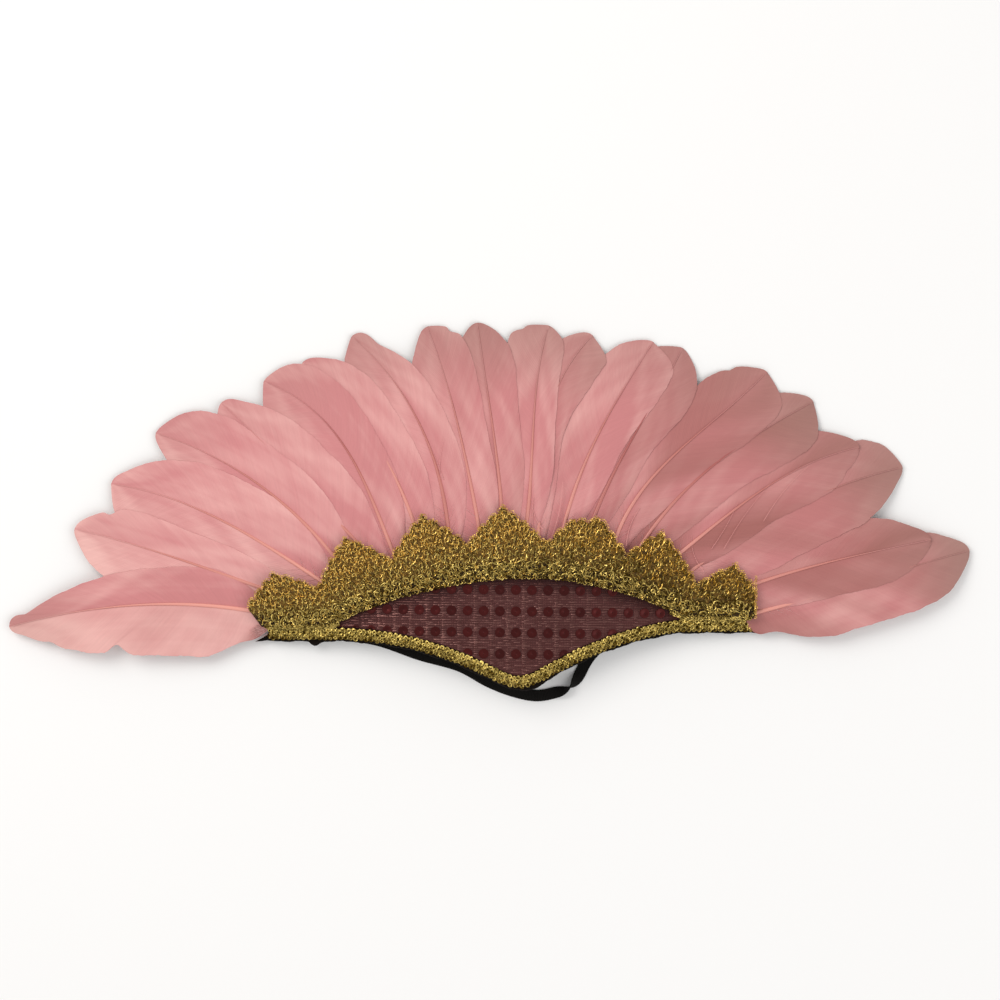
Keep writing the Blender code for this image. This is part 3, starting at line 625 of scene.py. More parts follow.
# Metallised weft thread lying on the cloth: thin bright broken lines.
THREAD = shaded("metallised weft thread", "#522A27", "#92665F", Metallic=0.7, Roughness=0.35)
# Sequin stamped from red metallised film: dark, smooth and glossy.
SEQUIN = shaded("stamped red film sequin", "#380D0B", "#501412", Metallic=0.8, Roughness=0.35,
    Coat_Weight=0.05)
FELT = black_felt()
ELASTIC = braided_elastic()
# Twisted polyester sewing thread: black, with a dull shine.
SEWING = new_material("black polyester sewing thread", Base_Color=linear("#1B1A1C"), Roughness=0.5,
    IOR=1.5)[0]


# Floor.

floor_mesh = bpy.data.meshes.new("floor")
floor_mesh.from_pydata([(-3, -3, 0), (3, -3, 0), (3, 3, 0), (-3, 3, 0)], [], [(0, 1, 2, 3)])
floor = bpy.data.objects.new("floor", floor_mesh)
floor_mesh.materials.append(new_material("matt white paper", Base_Color=linear("#F4F3F2"),
    Roughness=0.9)[0])
scene.collection.objects.link(floor)


# Feathers.

BARB_ROWS = 150         # mesh rows along the shaft, each along one barb
BARB_STEPS = 26         # points from the shaft to the outline
BARB_SWEEP = 1.75       # how far the barbs lean to the tip
VANE_LENGTH = 112.0     # of a usual feather, for what is worked out along its length
EDGE_DROOP, EDGE_DROOP_FAR = 1.22, 1.12     # of the right edge, on to the feather under it
EDGE_DROOP_LEFT = 0.2
TIP_ROUND, TIP_ROUND_LOW = 5.4, 4.2     # tips; the lowest left feather is narrower
FOOT = 4.6              # extra width at the foot of the two lowest feathers, beside the felt
SHAFT_STEPS, SHAFT_SIDES = 70, 8
DOWN_STEPS = 6
# Down at the foot of a vane. at: share of the length; long, out: length and distance from the
# shaft in millimetres; left: share of it on the left side.
DOWN_LOWEST = dict(count=70, at=(0.0, 0.045), long=(3.0, 6.0), out=(5.0, 9.5), left=1.0)
DOWN_USUAL = dict(count=16, at=(0.03, 0.20), long=(5.0, 10.0), out=None, left=0.5)

DEEP, PALE = linear("#CB7F80"), linear("#E4A8A3")
DUSK, TIP_BROWN = linear("#A05F59"), linear("#9C746A")
SHAFT_DARK, SHAFT_LIGHT = linear("#A04C49"), linear("#EFA495")


def blend(low, high, share):
    return np.asarray(low) + (np.asarray(high) - np.asarray(low)) * np.asarray(share)[..., None]


def vane_side(number, row, dye, side):
    """One side of a vane. Each mesh row is a barb, from the shaft out and forward to the outline."""
    sign = 1.0 if side == "right" else -1.0
    seed = 40 * number + (7 if side == "right" else 0)
    start = np.linspace(0.0, 1.0, BARB_ROWS + 1)
    end = 1.0 - (1.0 - start) ** BARB_SWEEP
    width = vane_width(row, side, end)
    ragged = 1.0 + 0.012 * wander(start * 60.0, seed) + 0.02 * wander(start * 9.0, seed + 1)
    width = width * np.where(end < 0.97, ragged, 1.0)
    for notch in NOTCHES:
        if notch["feather"] == number and notch["side"] == side:
            width = width - notch["depth"] * np.exp(-((end - notch["at"]) / notch["span"]) ** 2)
    # The vane closes in a round tip.
    to_tip, curve = VANE_LENGTH * (1.0 - end), TIP_ROUND_LOW if number == 1 else TIP_ROUND
    cap = np.sqrt(np.clip(curve ** 2 - (to_tip - curve) ** 2, 0.0, None))
    width = (np.maximum(width, VANE_MIN) ** 4 + cap ** 4) ** 0.25
    foot = np.zeros_like(end)
    if (number, side) in ((1, "left"), (20, "right")):
        foot = np.exp(-((end - 0.03) / 0.055) ** 2)
        width = width + FOOT * foot
    out = np.linspace(0.0, 1.0, BARB_STEPS + 1)
    share = start[:, None] + (end - start)[:, None] * out ** 1.15
    faces = grid_faces(BARB_ROWS + 1, BARB_STEPS + 1)
    aside = width[:, None] * out
    x, y, right_x, right_y = quill_point(row, share)
    x, y = x + sign * right_x * aside, y + sign * right_y * aside
    if side == "right":
        droop = mix(EDGE_DROOP, EDGE_DROOP_FAR, smooth(share / 0.6)) * out ** 3
    else:
        droop = EDGE_DROOP_LEFT * out ** 2
    bearing, radius = polar(x, y)
    ripple = 0.16 * wander(bearing * 0.55 + radius * 0.03, 7) * wander(radius * 0.09, 8)
    ripple = ripple + 0.05 * out * wander(start[:, None] * 34.0, seed + 3)
    z = feather_surface(number, x, y) - droop + ripple
    # The side's tone from the table: partly dye, partly painted light that draws the side towards the light
    # paler.
    pale = dye[side] + 0.34 * wander(share * 6.0 + 2.0 * out, seed + 4)
    pale = pale + 0.12 * wander(aside * 0.5, seed + 5)
    # Bundles of barbs take the dye unevenly.
    bundle = 0.14 * wander(start * 21.0, seed + 8) + 0.07 * wander(start * 64.0, seed + 9)
    # Painted shade across the vane: darker by the shaft and paler out to the outline.
    pale = pale + 0.30 * (out - 0.45) + bundle[:, None] * (0.35 + 0.65 * out)
    colour = blend(DEEP, PALE, np.clip(pale, 0.0, 1.45))
    # Painted shade: a grey brown cast, strongest on the feathers to the right, away from the light.
    dusk = dye["dusk"] * (0.8 + 0.5 * wander(share * 4.0 - out, seed + 6))
    dusk = dusk + (0.8 if number == 1 else 0.2) * foot[:, None] * out
    colour = blend(colour, DUSK, np.clip(dusk, 0.0, 1.0))
    colour = blend(colour, TIP_BROWN, dye["tip"] * smooth((share - 0.62) / 0.38))
    # Place on the vane for the streaks: along the shaft, along the barb, and apart for each feather.
    barb = xyz(np.broadcast_to(start[:, None] * VANE_LENGTH, share.shape), sign * aside,
        np.full(share.shape, 17.0 * number))
    if side == "right":
        faces = faces[:, ::-1]
    return part(xyz(x, y, z), faces, 0, dye=colour.reshape(-1, 3), barb=barb.reshape(-1, 3))


def shaft(number, row, dye):
    """The tapered shaft, standing a little proud of the vane."""
    share = np.linspace(0.0, 0.985, SHAFT_STEPS + 1)
    x, y, _, _ = quill_point(row, share)
    half = mix(QUILL_HALF, 0.5 * QUILL_HALF_TIP, smooth(share / 0.9))
    rise = mix(QUILL_RIDGE, QUILL_RIDGE_TIP, share)
    z = feather_surface(number, x, y) + 0.225 + rise - 0.62 * half
    made = yarns(xyz(x, y, z)[None], half, SHAFT_SIDES, squeeze=0.62, finish=1)
    colour = blend(SHAFT_DARK, SHAFT_LIGHT, mix(dye["shaft"], dye["far"] - 0.15, smooth(share / 0.8)))
    # Towards the tip the shaft is as thin as a barb and no other colour than the vane.
    vane = blend(DEEP, PALE, 0.5 * (dye["left"] + dye["right"]))
    vane = blend(vane, TIP_BROWN, 0.8 * dye["tip"])
    colour = blend(colour, vane, 0.85 * smooth((share - 0.55) / 0.35))
    made["marks"]["dye"] = np.repeat(colour, SHAFT_SIDES, axis=0)
    return made


def down_tuft(number, row):
    """Loose barbs at the foot of the vane; the lowest feather has most, on its outer side."""
    chance = np.random.default_rng(900 + number)
    tuft = DOWN_LOWEST if number == 1 else DOWN_USUAL
    count = (tuft["count"], 1)
    share = chance.uniform(*tuft["at"], count)
    sign = np.where(chance.random(count) < tuft["left"], -1.0, 1.0)
    length = chance.uniform(*tuft["long"], count)
    step = np.linspace(0.0, 1.0, DOWN_STEPS)
    first = chance.uniform(*tuft["out"], count) if tuft["out"] else 0.0
    curl = chance.uniform(-1.6, 1.6, count) * step ** 2
    aside = sign * (first + length * step * 0.6) + curl
    x, y, right_x, right_y = quill_point(row, share + length * step ** 1.3 * 0.8 / VANE_LENGTH)
    x, y = x + right_x * aside, y + right_y * aside
    z = feather_surface(number, x, y) + 0.12 + 0.3 * step * chance.uniform(0.2, 1.0, count)
    return yarns(xyz(x, y, z), 0.07 * (1.15 - step), 3, finish=2)


STRAY_TONE = linear("#DC9490")
STRAY_LIFT = 0.45       # above the vane's middle

# Barbs that have come loose, from the fan centre in millimetres. number: the feather they lie on.
STRAYS = table(
    "number x y to_x to_y bend thick",
    (11, 10.3, 213.0, 14.8, 204.0, 0.8, 0.28),
    (11, 10.3, 219.0, 10.0, 201.0, 0.3, 0.30),
    (12, 24.0, 226.0, 18.5, 199.0, -1.2, 0.26),
    (19, 104.8, 191.6, 121.0, 192.4, -1.6, 0.12),
    (15, 60.0, 214.0, 53.5, 196.0, 1.4, 0.22),
    (17, 84.0, 201.0, 90.0, 184.0, 1.8, 0.20),
    (17, 106.4, 217.6, 93.5, 194.8, -0.8, 0.12),
    (17, 122.1, 226.2, 99.2, 194.8, 1.2, 0.11),
    (17, 139.2, 233.3, 117.8, 207.6, 1.5, 0.11),
    (8, -41.6, 249.1, -31.3, 227.0, -0.8, 0.12),
    (8, -31.3, 246.3, -33.3, 229.8, 0.5, 0.11),
)


def stray_barbs(number):
    step = np.linspace(0.0, 1.0, 9)
    paths, thick = [], []
    for row in STRAYS:
        if row["number"] == number:
            run_x, run_y = row["to_x"] - row["x"], row["to_y"] - row["y"]
            length = math.hypot(run_x, run_y)
            bend = row["bend"] * np.sin(np.pi * step) / length
            x, y = row["x"] + run_x * step + run_y * bend, row["y"] + run_y * step - run_x * bend
            paths.append(xyz(x, y, feather_surface(number, x, y) + STRAY_LIFT))
            thick.append(row["thick"] * (0.35 + 0.65 * step))
    if not paths:
        return []
    made = yarns(np.stack(paths), np.stack(thick), 4)
    made["marks"]["dye"] = np.broadcast_to(STRAY_TONE, made["points"].shape)
    return [made]


for number, (row, dye) in enumerate(zip(FEATHERS, DYE_AND_SHADING), start=1):
    parts = [vane_side(number, row, dye, "left"), vane_side(number, row, dye, "right"),
        shaft(number, row, dye), down_tuft(number, row)] + stray_barbs(number)
    piece("dyed_feather_%02d" % number, parts, (VANE, SHAFT, DOWN), ["feather_%02d" % number])


# Felt base.

FELT_STEPS, FELT_ACROSS = 220, 16
FELT_SHOW, FELT_RIM = 0.6, 0.8      # felt beyond the braid, and the width of its soft rim
# The felt is cut by hand: an uneven edge, a frayed nub under the left wing, and a fuller place
# beside the point.
FELT_UNEVEN = 0.4
FELT_LUMPS = table("x low spread", (-92.0, 2.2, 2.4), (9.5, 1.3, 5.5))


def felt_base():
    """The felt, a closed pad with soft edges."""
    low = edge_path(*FELT_ENDS, FELT_STEPS, BRAID_WIDTH + 2.0 * BRAID_GAP + FELT_SHOW)
    low[:, 1] -= FELT_UNEVEN * wander(low[:, 0] * 0.35, 6)
    for lump in FELT_LUMPS:
        low[:, 1] -= lump["low"] * np.exp(-((low[:, 0] - lump["x"]) / lump["spread"]) ** 2)
    bearing = np.linspace(*FELT_ENDS, FELT_STEPS + 1)
    high = np.stack(place(bearing, FELT_RADIUS), -1)
    high[:, 1] = np.maximum(high[:, 1], low[:, 1] + 2.0)
    across = np.linspace(0.0, 1.0, FELT_ACROSS + 1)
    across = 0.5 - 0.5 * np.cos(np.pi * across)
    flat = mix(low[:, None], high[:, None], across[None, :, None])
    reach = np.minimum(across, 1.0 - across)[None, :] * np.linalg.norm(high - low, axis=1)[:, None]
    step = np.arange(FELT_STEPS + 1)
    end = np.minimum(step, FELT_STEPS - step) * 1.1
    soft = np.minimum(reach, end[:, None])
    half = 0.5 * FELT_THICK * np.sqrt(1.0 - (1.0 - np.clip(soft / FELT_RIM, 0.0, 1.0)) ** 2)
    middle = BACK_LEVEL + 0.5 * FELT_THICK + bow(flat[..., 0])
    nap = 0.04 * wander(flat[..., 0] * 1.9 + 0.7 * flat[..., 1], 5)
    top = xyz(flat[..., 0], flat[..., 1], middle + half + nap)
    back = xyz(flat[..., 0], flat[..., 1], middle - half)
    faces = grid_faces(FELT_STEPS + 1, FELT_ACROSS + 1)
    count = (FELT_STEPS + 1) * (FELT_ACROSS + 1)
    points = np.concatenate((top.reshape(-1, 3), back.reshape(-1, 3)))
    return part(points, np.concatenate((faces[:, ::-1], faces + count)))


felt = piece("felt_base", [felt_base()], (FELT,), ["base_backing"])


# Sequined cloth.

CLOTH_ENDS = (WING_LEFT["start"] + 0.1, WING_RIGHT["start"] + 0.2)
CLOTH_SLOPE = -0.016    # the sequin rows fall a little to the right
WEFT_PITCH, WEFT_IN_ROW = 1.15, 74      # rows of bright thread, and threads in a row
WEFT_SPAN = (-88.0, 80.0)
LADDER_PITCH = 0.9      # rungs of thread between two columns of sequins


def cloth_level(x):
    return felt_top(x) + CLOTH_THICK


def inside_panel(x, y, margin):
    bearing, radius = polar(x, y)
    return ((bearing > CLOTH_ENDS[0]) & (bearing < CLOTH_ENDS[1]) & (radius > lower_edge(bearing) + margin)
        & (radius < lace_inner(bearing) - margin))


def under_lace(x, y):
    """How far the cloth is drawn darker and redder, strongest beside the lace: partly its red film ground
    showing there, partly painted shadow of the lace.
    """
    bearing, radius = polar(x, y)
    below = lace_inner(bearing) - radius
    return 1.0 - smooth((below - 2.0) / 5.5)


def cloth_sheet():
    steps, across = 150, 36
    bearing = np.linspace(*CLOTH_ENDS, steps + 1)[:, None]
    top = lace_inner(bearing) + 1.6
    radius = mix(lower_edge(bearing) - 0.2, top, np.linspace(0.0, 1.0, across + 1)[None])
    x, y = place(bearing, radius)
    dimple = np.cos(2.0 * np.pi * (x - SEQUIN_FIRST_X) / SEQUIN_PITCH_X)
    z = cloth_level(x) + 0.05 * dimple - 0.05
    # The cloth is marked darker and redder beside the lace: partly its red ground, partly painted shadow of
    # the lace.
    return part(xyz(x, y, z), grid_faces(steps + 1, across + 1)[:, ::-1], deep=under_lace(x, y).reshape(-1))


def sequin_spots():
    """Sequin centres in straight rows, also those that the trims half cover."""
    column, row = np.meshgrid(np.arange(-24, 25), np.arange(SEQUIN_ROWS))
    x = SEQUIN_FIRST_X + column * SEQUIN_PITCH_X
    y = SEQUIN_TOP_Y - row * SEQUIN_PITCH_Y + CLOTH_SLOPE * x
    keep = inside_panel(x, y, -1.2)
    return x[keep], y[keep]


def sequins():
    """Cupped film discs with a hole, cut off where they run under a trim."""
    chance = np.random.default_rng(31)
    x, y = sequin_spots()
    sides = 24
    turn = 2.0 * np.pi * np.arange(sides) / sides
    rings = ((0.22, 0.12), (0.3, 0.15), (1.6, 0.18), (2.2, 0.24), (SEQUIN_RADIUS, 0.22),
        (SEQUIN_RADIUS, 0.14))
    points = []
    for radius, rise in rings:
        px = x[:, None] + radius * np.cos(turn)
        py = y[:, None] + radius * np.sin(turn)
        bearing, far = polar(px, py)
        kept = np.clip(far, lower_edge(bearing) + 0.15, lace_inner(bearing) + 1.4)
        px, py = px * kept / far, py * kept / far
        points.append(xyz(px, py, cloth_level(px) + rise))
    points = np.stack(points, 1)
    tilt = chance.uniform(-0.03, 0.03, (len(x), 2))
    points[..., 2] += (points[..., 0] - x[:, None, None]) * tilt[:, 0, None, None]
    points[..., 2] += (points[..., 1] - y[:, None, None]) * tilt[:, 1, None, None] + 0.06
    shade = np.broadcast_to(chance.uniform(0.2, 0.75, len(x))[:, None, None], points.shape[:3])
    one = grid_faces(len(rings), sides, closed=True)
    faces = repeated(one, len(x), len(rings) * sides)
    return part(points, faces, 2, shade=shade.reshape(-1))


def weft_threads():
    """Bright broken threads: long ones across the cloth and a ladder between the sequins."""
    chance = np.random.default_rng(12)
    rows = np.arange(POINT_RADIUS, PANEL_RADIUS + 2.0, WEFT_PITCH)
    count = len(rows) * WEFT_IN_ROW
    y = np.repeat(rows, WEFT_IN_ROW) + chance.normal(0.0, 0.10, count)
    x = chance.uniform(*WEFT_SPAN, count)
    half = chance.uniform(0.5, 2.2, count)
    column = SEQUIN_FIRST_X + (np.arange(-12, 12) + 0.5) * SEQUIN_PITCH_X
    rung_x, rung_y = np.meshgrid(column, np.arange(POINT_RADIUS, PANEL_RADIUS + 2.0, LADDER_PITCH))
    count = rung_x.size
    x = np.concatenate((x, rung_x.ravel() + chance.normal(0.0, 0.15, count)))
    y = np.concatenate((y, rung_y.ravel() + chance.normal(0.0, 0.12, count)))
    half = np.concatenate((half, chance.uniform(0.5, 1.1, count)))
    y = y + CLOTH_SLOPE * x
    spot_x, spot_y = sequin_spots()
    near = np.hypot(x[:, None] - spot_x, y[:, None] - spot_y).min(axis=1)
    keep = inside_panel(x, y, 0.5) & inside_panel(x - half, y, 0.2) & inside_panel(x + half, y, 0.2)
    keep &= near > SEQUIN_RADIUS + 0.2
    x, y, half = x[keep], y[keep], half[keep]
    step = np.linspace(-1.0, 1.0, 4)
    px = x[:, None] + half[:, None] * step
    py = np.broadcast_to(y[:, None], px.shape) + CLOTH_SLOPE * half[:, None] * step
    pz = cloth_level(px) + 0.10 - 0.10 * step ** 2
    # Threads beside the lace are drawn dimmer: painted shadow of the lace.
    shade = chance.uniform(0.0, 1.0, len(x))[:, None] * (1.0 - 0.6 * under_lace(px, py))
    return yarns(xyz(px, py, pz), 0.13, 3, squeeze=0.6, flat=True, finish=1, shade=shade)


cloth_part = cloth_sheet()
cloth = piece("sequined_cloth", [cloth_part], (LAME,), ["sequin_panel"])
sequin_work = piece("sequins_and_weft", [weft_threads(), sequins()], (LAME, THREAD, SEQUIN))


# Pointed lace.

LOOP_PITCH = 1.25       # from one stitch to the next, outward
LOOP_RADII = (150.0, 218.0)     # from inside the lace to beyond its points
COLUMN_TURN = 0.27      # degrees from one column of stitches to the next
HEADER_WIDTH = 7.0      # looped gimp along the inner edge
# Painted light: the lace yarn is drawn brighter on the left and in the middle.
LIT_LEFT, LIT_RIGHT = 0.26, -0.16   # the yarn lies brighter on the left and in the middle
RIGHT_END_TOP = 182.0   # of the straight end of the lace on the right
SLAB_STEPS, SLAB_ACROSS = 330, 12


def lace_ground_slab():
    """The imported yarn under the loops, with the outline of the lace."""
    steps, across = SLAB_STEPS, SLAB_ACROSS
    bearing = np.linspace(*LACE_ENDS, steps + 1)[:, None]
    inner = lace_inner(bearing)
    outer = np.maximum(lace_edge(bearing) - 0.6, inner + 1.6)
    radius = mix(inner, outer, np.linspace(0.0, 1.0, across + 1)[None])
    # Painted shade: the ground is drawn darker along the gimp at the inner edge, the shadow in the holes
    # between its loops.
    deep = 1.0 - smooth((radius - inner - 0.7 * HEADER_WIDTH) / 4.0)
    x, y = place(bearing, radius)
    low = lace_underside(x, y)
    lumps = 0.12 * wander(x * 2.3, 3) * wander(y * 2.1, 4)
    top, back = xyz(x, y, low + 0.75 + lumps), xyz(x, y, low + 0.1)
    count = (steps + 1) * (across + 1)
    faces = grid_faces(steps + 1, across + 1)
    rim = np.concatenate((np.arange(across + 1), np.arange(1, steps + 1) * (across + 1) + across,
        steps * (across + 1) + np.arange(across - 1, -1, -1), np.arange(steps - 1, 0, -1) * (across + 1)))
    after = np.roll(rim, -1)
    wall = np.stack((rim, after, after + count, rim + count), -1)
    return part(np.concatenate((top.reshape(-1, 3), back.reshape(-1, 3))),
        np.concatenate((faces[:, ::-1], faces + count, wall)), deep=np.tile(deep.reshape(-1), 2))


def yarn_loops(x, y, level, radius, thick, tilt, seed, tall=(0.65, 1.0), bright=0.5, sweep=5.4, finish=1,
        steps=9, sides=4):
    """Small loops of yarn, or bends of it when the sweep is short, each turned and tilted its own way."""
    chance = np.random.default_rng(seed)
    count = len(x)
    radius = np.broadcast_to(radius, (count,))
    turn = chance.uniform(0.0, 2.0 * np.pi, count)[:, None] + np.linspace(0.0, sweep, steps)[None]
    squash = chance.uniform(*tall, count)[:, None]
    lean = chance.uniform(0.0, 2.0 * np.pi, count)[:, None]
    across, outward = radius[:, None] * np.cos(turn), radius[:, None] * squash * np.sin(turn)
    # The stitches run outward from the fan centre.
    facing = np.arctan2(x, y)[:, None]
    px = x[:, None] + across * np.cos(facing) + outward * np.sin(facing)
    py = y[:, None] - across * np.sin(facing) + outward * np.cos(facing)
    rise = tilt * (across * np.cos(lean) + outward * np.sin(lean))
    pz = np.asarray(level)[:, None] + rise + 0.10 * np.sin(3.0 * turn)
    shade = np.clip(chance.normal(bright, 0.3, count), 0.0, 1.0)[:, None]
    return yarns(xyz(px, py, pz), thick, sides, flat=True, finish=finish, shade=shade)


def picots(x, y, chance, size, seed):
    """Small dark loops that stand off an edge of the lace."""
    level = lace_underside(x, y) + 0.8 + chance.uniform(-0.2, 0.3, len(x))
    return yarn_loops(x, y, level, chance.uniform(*size, len(x)), 0.18, 0.4, seed, bright=0.35)


def lace_loops():
    """Bends of yarn, stitch beside stitch, over the pointed part, and picots standing off its edge."""
    chance = np.random.default_rng(77)
    bearing, radius = np.meshgrid(np.arange(LACE_ENDS[0], LACE_ENDS[1], COLUMN_TURN),
        np.arange(*LOOP_RADII, LOOP_PITCH))
    radius = radius + np.where((np.arange(bearing.shape[1]) % 2 == 0)[None, :], 0.0, 0.5 * LOOP_PITCH)
    bearing = bearing.ravel() + chance.normal(0.0, 0.08, bearing.size)
    radius = radius.ravel() + chance.normal(0.0, 0.3, radius.size)
    x, y = place(bearing, radius)
    inner, outer = lace_inner(bearing), lace_edge(bearing)
    keep = (bearing > LACE_ENDS[0] + 0.2) & (bearing < LACE_ENDS[1] - 0.1)
    keep &= (radius > inner + 1.0) & (radius < outer - 0.6) & (x < LACE_RIGHT_X - 0.6)
    x, y, radius, inner = x[keep], y[keep], radius[keep], inner[keep]
    level = lace_underside(x, y) + 1.1 + chance.uniform(-0.25, 0.45, len(x))
    # The paler gimp yarn runs up into the foot of the points.
    pale = chance.random(len(x)) < np.clip(1.25 - (radius - inner - HEADER_WIDTH) / 12.0, 0.08, 0.9)
    # Painted light: brighter yarn on the left and in the middle.
    lit = mix(LIT_LEFT, LIT_RIGHT, smooth((polar(x, y)[0] + 2.0) / 22.0))
    parts = []
    for chosen, bright, finish, seed in ((~pale, 0.5, 1, 78), (pale, 0.4, 2, 79)):
        size = chance.uniform(0.55, 1.0, int(chosen.sum()))
        parts.append(yarn_loops(x[chosen], y[chosen], level[chosen], size, 0.19, 0.5, seed, (1.0, 1.8),
            bright + lit[chosen], 2.4, finish, 5, 3))
    bearing = np.arange(LACE_ENDS[0] + 0.2, LACE_ENDS[1] - 0.1, 0.24)
    edge = lace_edge(bearing)
    x, y = place(bearing, edge - 0.2 + chance.normal(0.0, 0.2, len(edge)))
    parts.append(picots(x, y, chance, (0.5, 0.75), 81))
    # The straight end on the right.
    along = np.arange(float(WING_RIGHT["line"]) + 0.8, RIGHT_END_TOP, 0.95)
    x = LACE_RIGHT_X - 0.1 + chance.normal(0.0, 0.15, len(along))
    parts.append(picots(x, along, chance, (0.45, 0.7), 82))
    return parts


# Looped rows of the gimp. middle, half: place of a row and half its width; over: rise of a loop.
GIMP_ROWS = table(
    "middle half pitch sweep thick over phase seed",
    (2.3, 1.4, 4.8, 1.0, 0.24, 0.30, 0.0, 51),
    (4.4, 1.9, 6.4, -1.6, 0.26, 0.35, 2.2, 61),
    (6.6, 1.6, 5.6, 1.2, 0.24, 0.30, 1.1, 71),
)


def scroll(path, level, middle, half, pitch, sweep, thick, over, phase, seed):
    """A yarn that runs along a path in a row of uneven loops."""
    length = distances(path)[-1]
    along = np.arange(0.5, length - 0.5, pitch / 14.0)
    turn = 2.0 * np.pi * along / pitch + phase + 1.5 * wander(along * 0.35, seed)
    uneven = 1.0 + 0.35 * wander(along * 0.5, seed + 3)
    wavy = middle + 0.5 * wander(along * 0.22, seed + 4)
    x, y = lay_along(path, along + sweep * np.sin(turn), wavy + half * uneven * np.cos(turn))
    z = level(x, y) + over * np.sin(turn + 0.8) + 0.15 * wander(along * 1.3, seed + 1)
    shade = np.clip(0.45 + 0.6 * wander(along * 1.5, seed + 2), 0.0, 1.0)
    return yarns(xyz(x, y, z)[None], thick, 6, flat=True, finish=1, shade=shade[None])


def lace_header():
    """The gimp at the foot of the lace: uneven bright loops, and a beaded edge."""
    bearing = np.linspace(LACE_ENDS[0] + 0.3, LACE_ENDS[1] - 0.3, 400)
    path = np.stack(place(bearing, lace_inner(bearing)), -1)

    def level(x, y):
        return lace_underside(x, y) + 1.5

    parts = [scroll(path, level, **row) for row in GIMP_ROWS]
    length = distances(path)[-1]
    chance = np.random.default_rng(66)
    count = int(length * HEADER_WIDTH / 6.0)
    along, aside = chance.uniform(0.8, length - 0.8, count), chance.uniform(1.0, HEADER_WIDTH + 0.8, count)
    x, y = lay_along(path, along, aside)
    x = np.minimum(x, LACE_RIGHT_X - 1.2)
    z = level(x, y) - 0.15 + chance.uniform(-0.2, 0.3, count)
    parts.append(yarn_loops(x, y, z, chance.uniform(0.6, 1.2, count), 0.2, 0.5, 68, bright=0.45))
    along = np.arange(0.8, length, 1.75)
    along = along + chance.normal(0.0, 0.15, len(along))
    x, y = lay_along(path, along, 0.5 + chance.normal(0.0, 0.15, len(along)))
    z = lace_underside(x, y) + 0.85
    parts.append(yarn_loops(x, y, z, 0.58, 0.25, 0.3, 67, bright=0.4, steps=8, sides=5))
    # On the wings loops hang from the lace down to the braid.
    left = (LACE_ENDS[0] + 0.5, WING_LEFT["start"] + 1.5)
    right = (WING_RIGHT["start"] - 1.5, LACE_ENDS[1] - 0.4)
    for ends in (left, right):
        bearing = np.repeat(np.arange(ends[0], ends[1], 0.27), 4)
        hang = np.tile(np.linspace(0.0, 1.0, 4), len(bearing) // 4)
        bearing = bearing + chance.normal(0.0, 0.06, len(bearing))
        x, y = place(bearing, lace_inner(bearing) + 0.3 - 1.2 * hang)
        z = mix(lace_underside(x, y) + 1.2, felt_top(x) + 1.9, hang)
        parts.append(yarn_loops(x, y, z, 0.7, 0.24, 0.4, int(85 + ends[0]), bright=0.4))
    return parts


piece("lace_points", [lace_ground_slab()] + lace_loops(), (GROUND, LACE_YARN, GIMP_YARN),
    ["lace_trim"])
piece("lace_header", lace_header(), (GROUND, GIMP_YARN))


# Edge braid.

BEAD_PITCH = 2.45       # from one looped bead to the next
# Rows of beads. aside: from the middle towards the panel; bright: share of pale loops.
BEAD_ROWS = table(
    "aside rise size thick bright tilt",
    (1.75, 1.85, 0.95, 0.34, 0.75, 0.25),
    (0.55, 1.75, 0.95, 0.32, 0.55, 0.35),
    (-0.75, 1.55, 0.95, 0.32, 0.35, 0.40),
    (-1.95, 1.25, 0.85, 0.30, 0.20, 0.35),
)


def braid_bed():
    """The flat core that the beads are worked on."""
    path = edge_path(*BRAID_ENDS, 260, BRAID_GAP + 0.5 * BRAID_WIDTH)
    rows = []
    for side, rise in ((-0.86, 0.05), (-0.86, 0.5), (-0.4, 0.95), (0.4, 0.95), (0.86, 0.5), (0.86, 0.05)):
        line = moved(path, 0.5 * BRAID_WIDTH * side)
        rows.append(xyz(line[:, 0], line[:, 1], felt_top(path[:, 0]) + rise))
    points = np.stack(rows, 1)
    made = part(points, grid_faces(len(path), 6, closed=True))
    ends = np.array(((0, 1, 4, 5), (1, 2, 3, 4)))
    made["faces"] = np.concatenate((made["faces"], ends, ends[:, ::-1] + 6 * (len(path) - 1)))
    return made


